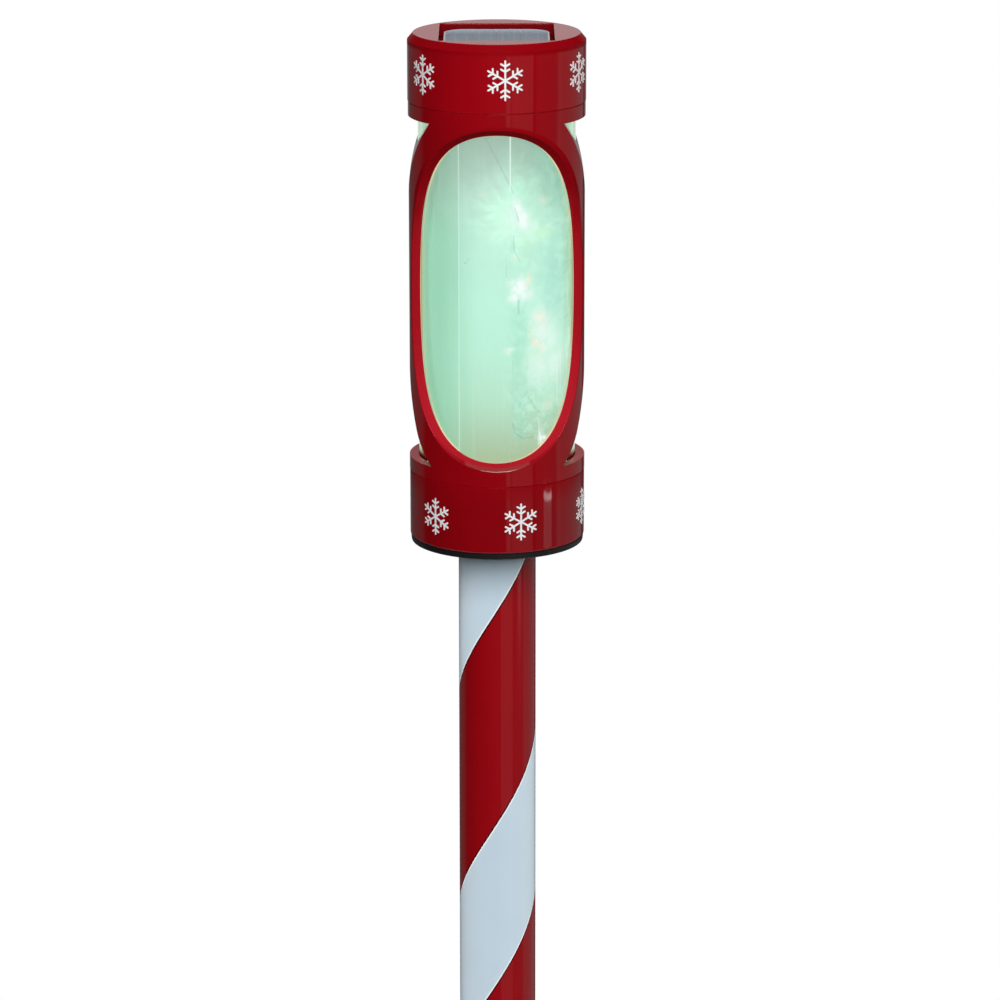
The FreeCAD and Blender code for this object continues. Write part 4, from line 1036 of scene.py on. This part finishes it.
class InnerParts(bpy.types.Operator):
    """Finish the carrier, the board and its parts, the battery, the door, the switch and the leads"""

    bl_idname = "lantern.inner_parts"
    bl_label = "Inner parts"

    def execute(self, context):
        colours = context.scene.lantern_colours
        inner = colours.inner
        dress(["inner_cover", "led_holder"], moulded("inner_white", inner, roughness=0.38, fleck=0.1))
        dress(["battery_door"], moulded("door_white", tinted(inner, 0.94), roughness=0.42, fleck=0.1))
        dress(["circuit_board"], board_finish(colours.board))
        dress(["driver_chip"], moulded("chip_black", srgb(26, 27, 29), roughness=0.55, grain=0.00003))
        dress(["driver_coil"], coil_finish())
        dress(["led_lamp"], led_finish())
        dress(["battery_cell"], battery_finish())
        dress(["contact_plate", "contact_spring"],
              metal("contact_plate_metal", srgb(204, 200, 190), (1, 8, 1)))
        dress(["cover_screws", "board_screws", "base_screws", "door_pin"],
              metal("screw_steel", srgb(176, 178, 180), (6, 6, 1), 0.34))
        dress(["switch_body"], moulded("switch_black", srgb(24, 24, 26), roughness=0.4))
        dress(["switch_knob"], moulded("knob_black", srgb(36, 36, 38), roughness=0.48))
        dress(["seal_ring"], moulded("seal_rubber", srgb(30, 30, 31), roughness=0.72, grain=0.00003))
        dress(["panel_leads"], moulded("panel_lead_red", srgb(168, 22, 20), roughness=0.36))
        dress(["battery_leads"], moulded("battery_lead_red", srgb(150, 20, 22), roughness=0.36))
        dress(["lower_reflector"], moulded("pale_disc", srgb(214, 232, 222), roughness=0.3, fleck=0.05))
        return {"FINISHED"}


class BasePieces(bpy.types.Operator):
    """Finish the black base plate and the ground stake"""

    bl_idname = "lantern.base"
    bl_label = "Base plate and stake"

    def execute(self, context):
        black = context.scene.lantern_colours.black
        dress(["base_plate"], moulded("base_black", black, roughness=0.38))
        dress(["ground_stake"], moulded("stake_black", tinted(black, 1.2), roughness=0.46, grain=0.00003,
                                        fleck=0.12))
        return {"FINISHED"}


LANTERN_MIDDLE, GLINT_AIM = (0, 0, 0.42), (0.023, -0.033, 0.425)
# Soft lamps: name, place, aim, width, height, brightness, and whether the object mirrors them.
LAMPS = (
    ("front_lamp", (0.05, -1.60, 1.42), LANTERN_MIDDLE, 0.8, 1.3, 10.3, True),
    ("left_lamp", (-1.7, 0.6, 1.3), LANTERN_MIDDLE, 0.9, 1.2, 0.8, False),
    ("right_lamp", (1.7, 0.7, 1.3), LANTERN_MIDDLE, 0.9, 1.2, 1.2, False),
    ("back_lamp", (0, 1.2, 2.1), LANTERN_MIDDLE, 1.6, 1.2, 3.2, False),
    ("glint_lamp", (0.933, -0.352, 0.177), GLINT_AIM, 0.22, 0.005, 8.5, True),
    ("band_lamp", (0.933, -0.352, 0.125), GLINT_AIM, 0.22, 0.10, 0.5, True),
)
# Dim upright panels of the studio: first and last azimuth in degrees, which are above 0 on the
# camera's right, then brightness and how many degrees soften each side.
STUDIO_PANELS = (
    (12, 18, 0.30, 1),
    (19.5, 48, 0.24, 1),
    (52, 92, 0.09, 3),
    (86, 150, 0.25, 4),
    (-160, -113, 0.10, 6),
)
CAMERA_PLACE = (0.0013, -2.002, 0.9398)
CAMERA_PITCH, CAMERA_ROLL = math.radians(75.384), math.radians(-0.055)
CAMERA_LENS, CAMERA_SENSOR = 162.86, 36
CAMERA_NEAR, CAMERA_FAR = 0.05, 50


def soft_lamp(name, place, target, width, height, radiance, mirrored):
    """A soft rectangular lamp of a given brightness per area, aimed at a point."""
    data = bpy.data.lights.new(name, "AREA")
    data.shape = "RECTANGLE"
    data.size, data.size_y = width, height
    data.energy = radiance * math.pi * width * height
    lamp = bpy.data.objects.new(name, data)
    lamp.location = place
    lamp.rotation_euler = (Vector(target) - Vector(place)).to_track_quat("-Z", "Y").to_euler()
    lamp.visible_camera = False
    lamp.visible_glossy = mirrored
    bpy.context.scene.collection.objects.link(lamp)


def floor_finish(radius):
    """Pale floor that keeps the shadow near the object and fades out at its rim."""
    finish = Finish("pale_floor")
    fade = finish.step(finish.distance(finish.x, finish.y), radius * 0.45, radius * 0.95)
    mottle = finish.noise(30, 3)
    tone = finish.mix(mottle, (0.80, 0.80, 0.80, 1), (0.84, 0.84, 0.84, 1))
    ground = finish.node("ShaderNodeBsdfDiffuse", {}, {"Color": tone, "Roughness": 0.9})
    return finish.blended(fade, ground, finish.node("ShaderNodeBsdfTransparent"))


def pale_floor(radius, height):
    """A round floor under the object."""
    shape = bmesh.new()
    bmesh.ops.create_circle(shape, cap_ends=True, segments=96, radius=radius)
    bmesh.ops.translate(shape, verts=shape.verts[:], vec=(0, 0, height))
    mesh = bpy.data.meshes.new("pale_floor")
    shape.to_mesh(mesh)
    shape.free()
    mesh.materials.append(floor_finish(radius))
    floor = bpy.data.objects.new("pale_floor", mesh)
    bpy.context.scene.collection.objects.link(floor)


def studio_world(world):
    """White to the camera and through the clear tube; what the object mirrors is a dim studio."""
    world.use_nodes = True
    nodes = Nodes(world.node_tree, "ShaderNodeOutputWorld")
    x, y, z = nodes.split(nodes.point("Generated"))
    azimuth = nodes.math("ARCTAN2", x, 0 - y) * (180 / math.pi)
    panels = sum(level * nodes.band(azimuth, first - soft, first + soft, last - soft, last + soft)
                 for first, last, level, soft in STUDIO_PANELS)
    panels = panels * nodes.band(z, -0.75, -0.55, 0, 0.2)
    backdrop = nodes.step(y, 0.88, 0.97) * (0.28 + 0.24 * nodes.step(z, -0.10, 0.14))
    above = 0.09 * nodes.step(z, 0.45, 0.85)
    level = nodes.math("MINIMUM", 0.008 + backdrop + panels + above, 1)
    path = nodes.node("ShaderNodeLightPath")
    seen = [nodes.signal(path, kind) for kind in ("Is Camera Ray", "Is Transmission Ray")]
    strength = nodes.math("MAXIMUM", nodes.math("MAXIMUM", *seen), level)
    nodes.end(nodes.node("ShaderNodeBackground", {}, {"Color": (1, 1, 1, 1), "Strength": strength}))


class Studio(bpy.types.Operator):
    """Set up the pale floor, the soft lamps, the backdrop and the camera"""

    bl_idname = "lantern.studio"
    bl_label = "Studio"

    def execute(self, context):
        scene = context.scene
        pale_floor(scene.lantern_sizes.floor_radius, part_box("ground_stake")[0].z - 0.5 * MM)
        for row in LAMPS:
            soft_lamp(*row)
        scene.world = scene.world or bpy.data.worlds.new("studio")
        studio_world(scene.world)
        scene.view_settings.view_transform = "Standard"

        data = bpy.data.cameras.new("camera")
        data.lens, data.sensor_width = CAMERA_LENS, CAMERA_SENSOR
        data.clip_start, data.clip_end = CAMERA_NEAR, CAMERA_FAR
        camera = bpy.data.objects.new("camera", data)
        aim = Matrix.Rotation(CAMERA_PITCH, 4, "X") @ Matrix.Rotation(CAMERA_ROLL, 4, "Z")
        camera.rotation_euler = aim.to_euler()
        camera.location = CAMERA_PLACE
        scene.collection.objects.link(camera)
        scene.camera = camera
        return {"FINISHED"}


STEPS = (StripedPole, Films, LensTube, RedShells, Snowflakes, SolarPanel, InnerParts, BasePieces, Studio)


class LanternPanel(bpy.types.Panel):
    """The lantern's sizes, colours and steps"""

    bl_idname = "VIEW3D_PT_lantern"
    bl_label = "Striped garden lantern"
    bl_space_type = "VIEW_3D"
    bl_region_type = "UI"
    bl_category = "Lantern"

    def draw(self, context):
        for group in (context.scene.lantern_sizes, context.scene.lantern_colours):
            box = self.layout.box()
            for name in group.__annotations__:
                box.prop(group, name)
        for step in STEPS:
            self.layout.operator(step.bl_idname)


CLASSES = (LanternSizes, LanternColours, *STEPS, LanternPanel)


def register():
    for item in CLASSES:
        bpy.utils.register_class(item)
    bpy.types.Scene.lantern_sizes = bpy.props.PointerProperty(type=LanternSizes)
    bpy.types.Scene.lantern_colours = bpy.props.PointerProperty(type=LanternColours)


def unregister():
    del bpy.types.Scene.lantern_colours
    del bpy.types.Scene.lantern_sizes
    for item in reversed(CLASSES):
        bpy.utils.unregister_class(item)


def main():
    register()
    bpy.ops.lantern.striped_pole()
    bpy.ops.lantern.films()
    bpy.ops.lantern.lens()
    bpy.ops.lantern.red_shells()
    bpy.ops.lantern.snowflakes()
    bpy.ops.lantern.solar_panel()
    bpy.ops.lantern.inner_parts()
    bpy.ops.lantern.base()
    bpy.ops.lantern.studio()


if __name__ == "__main__":
    main()
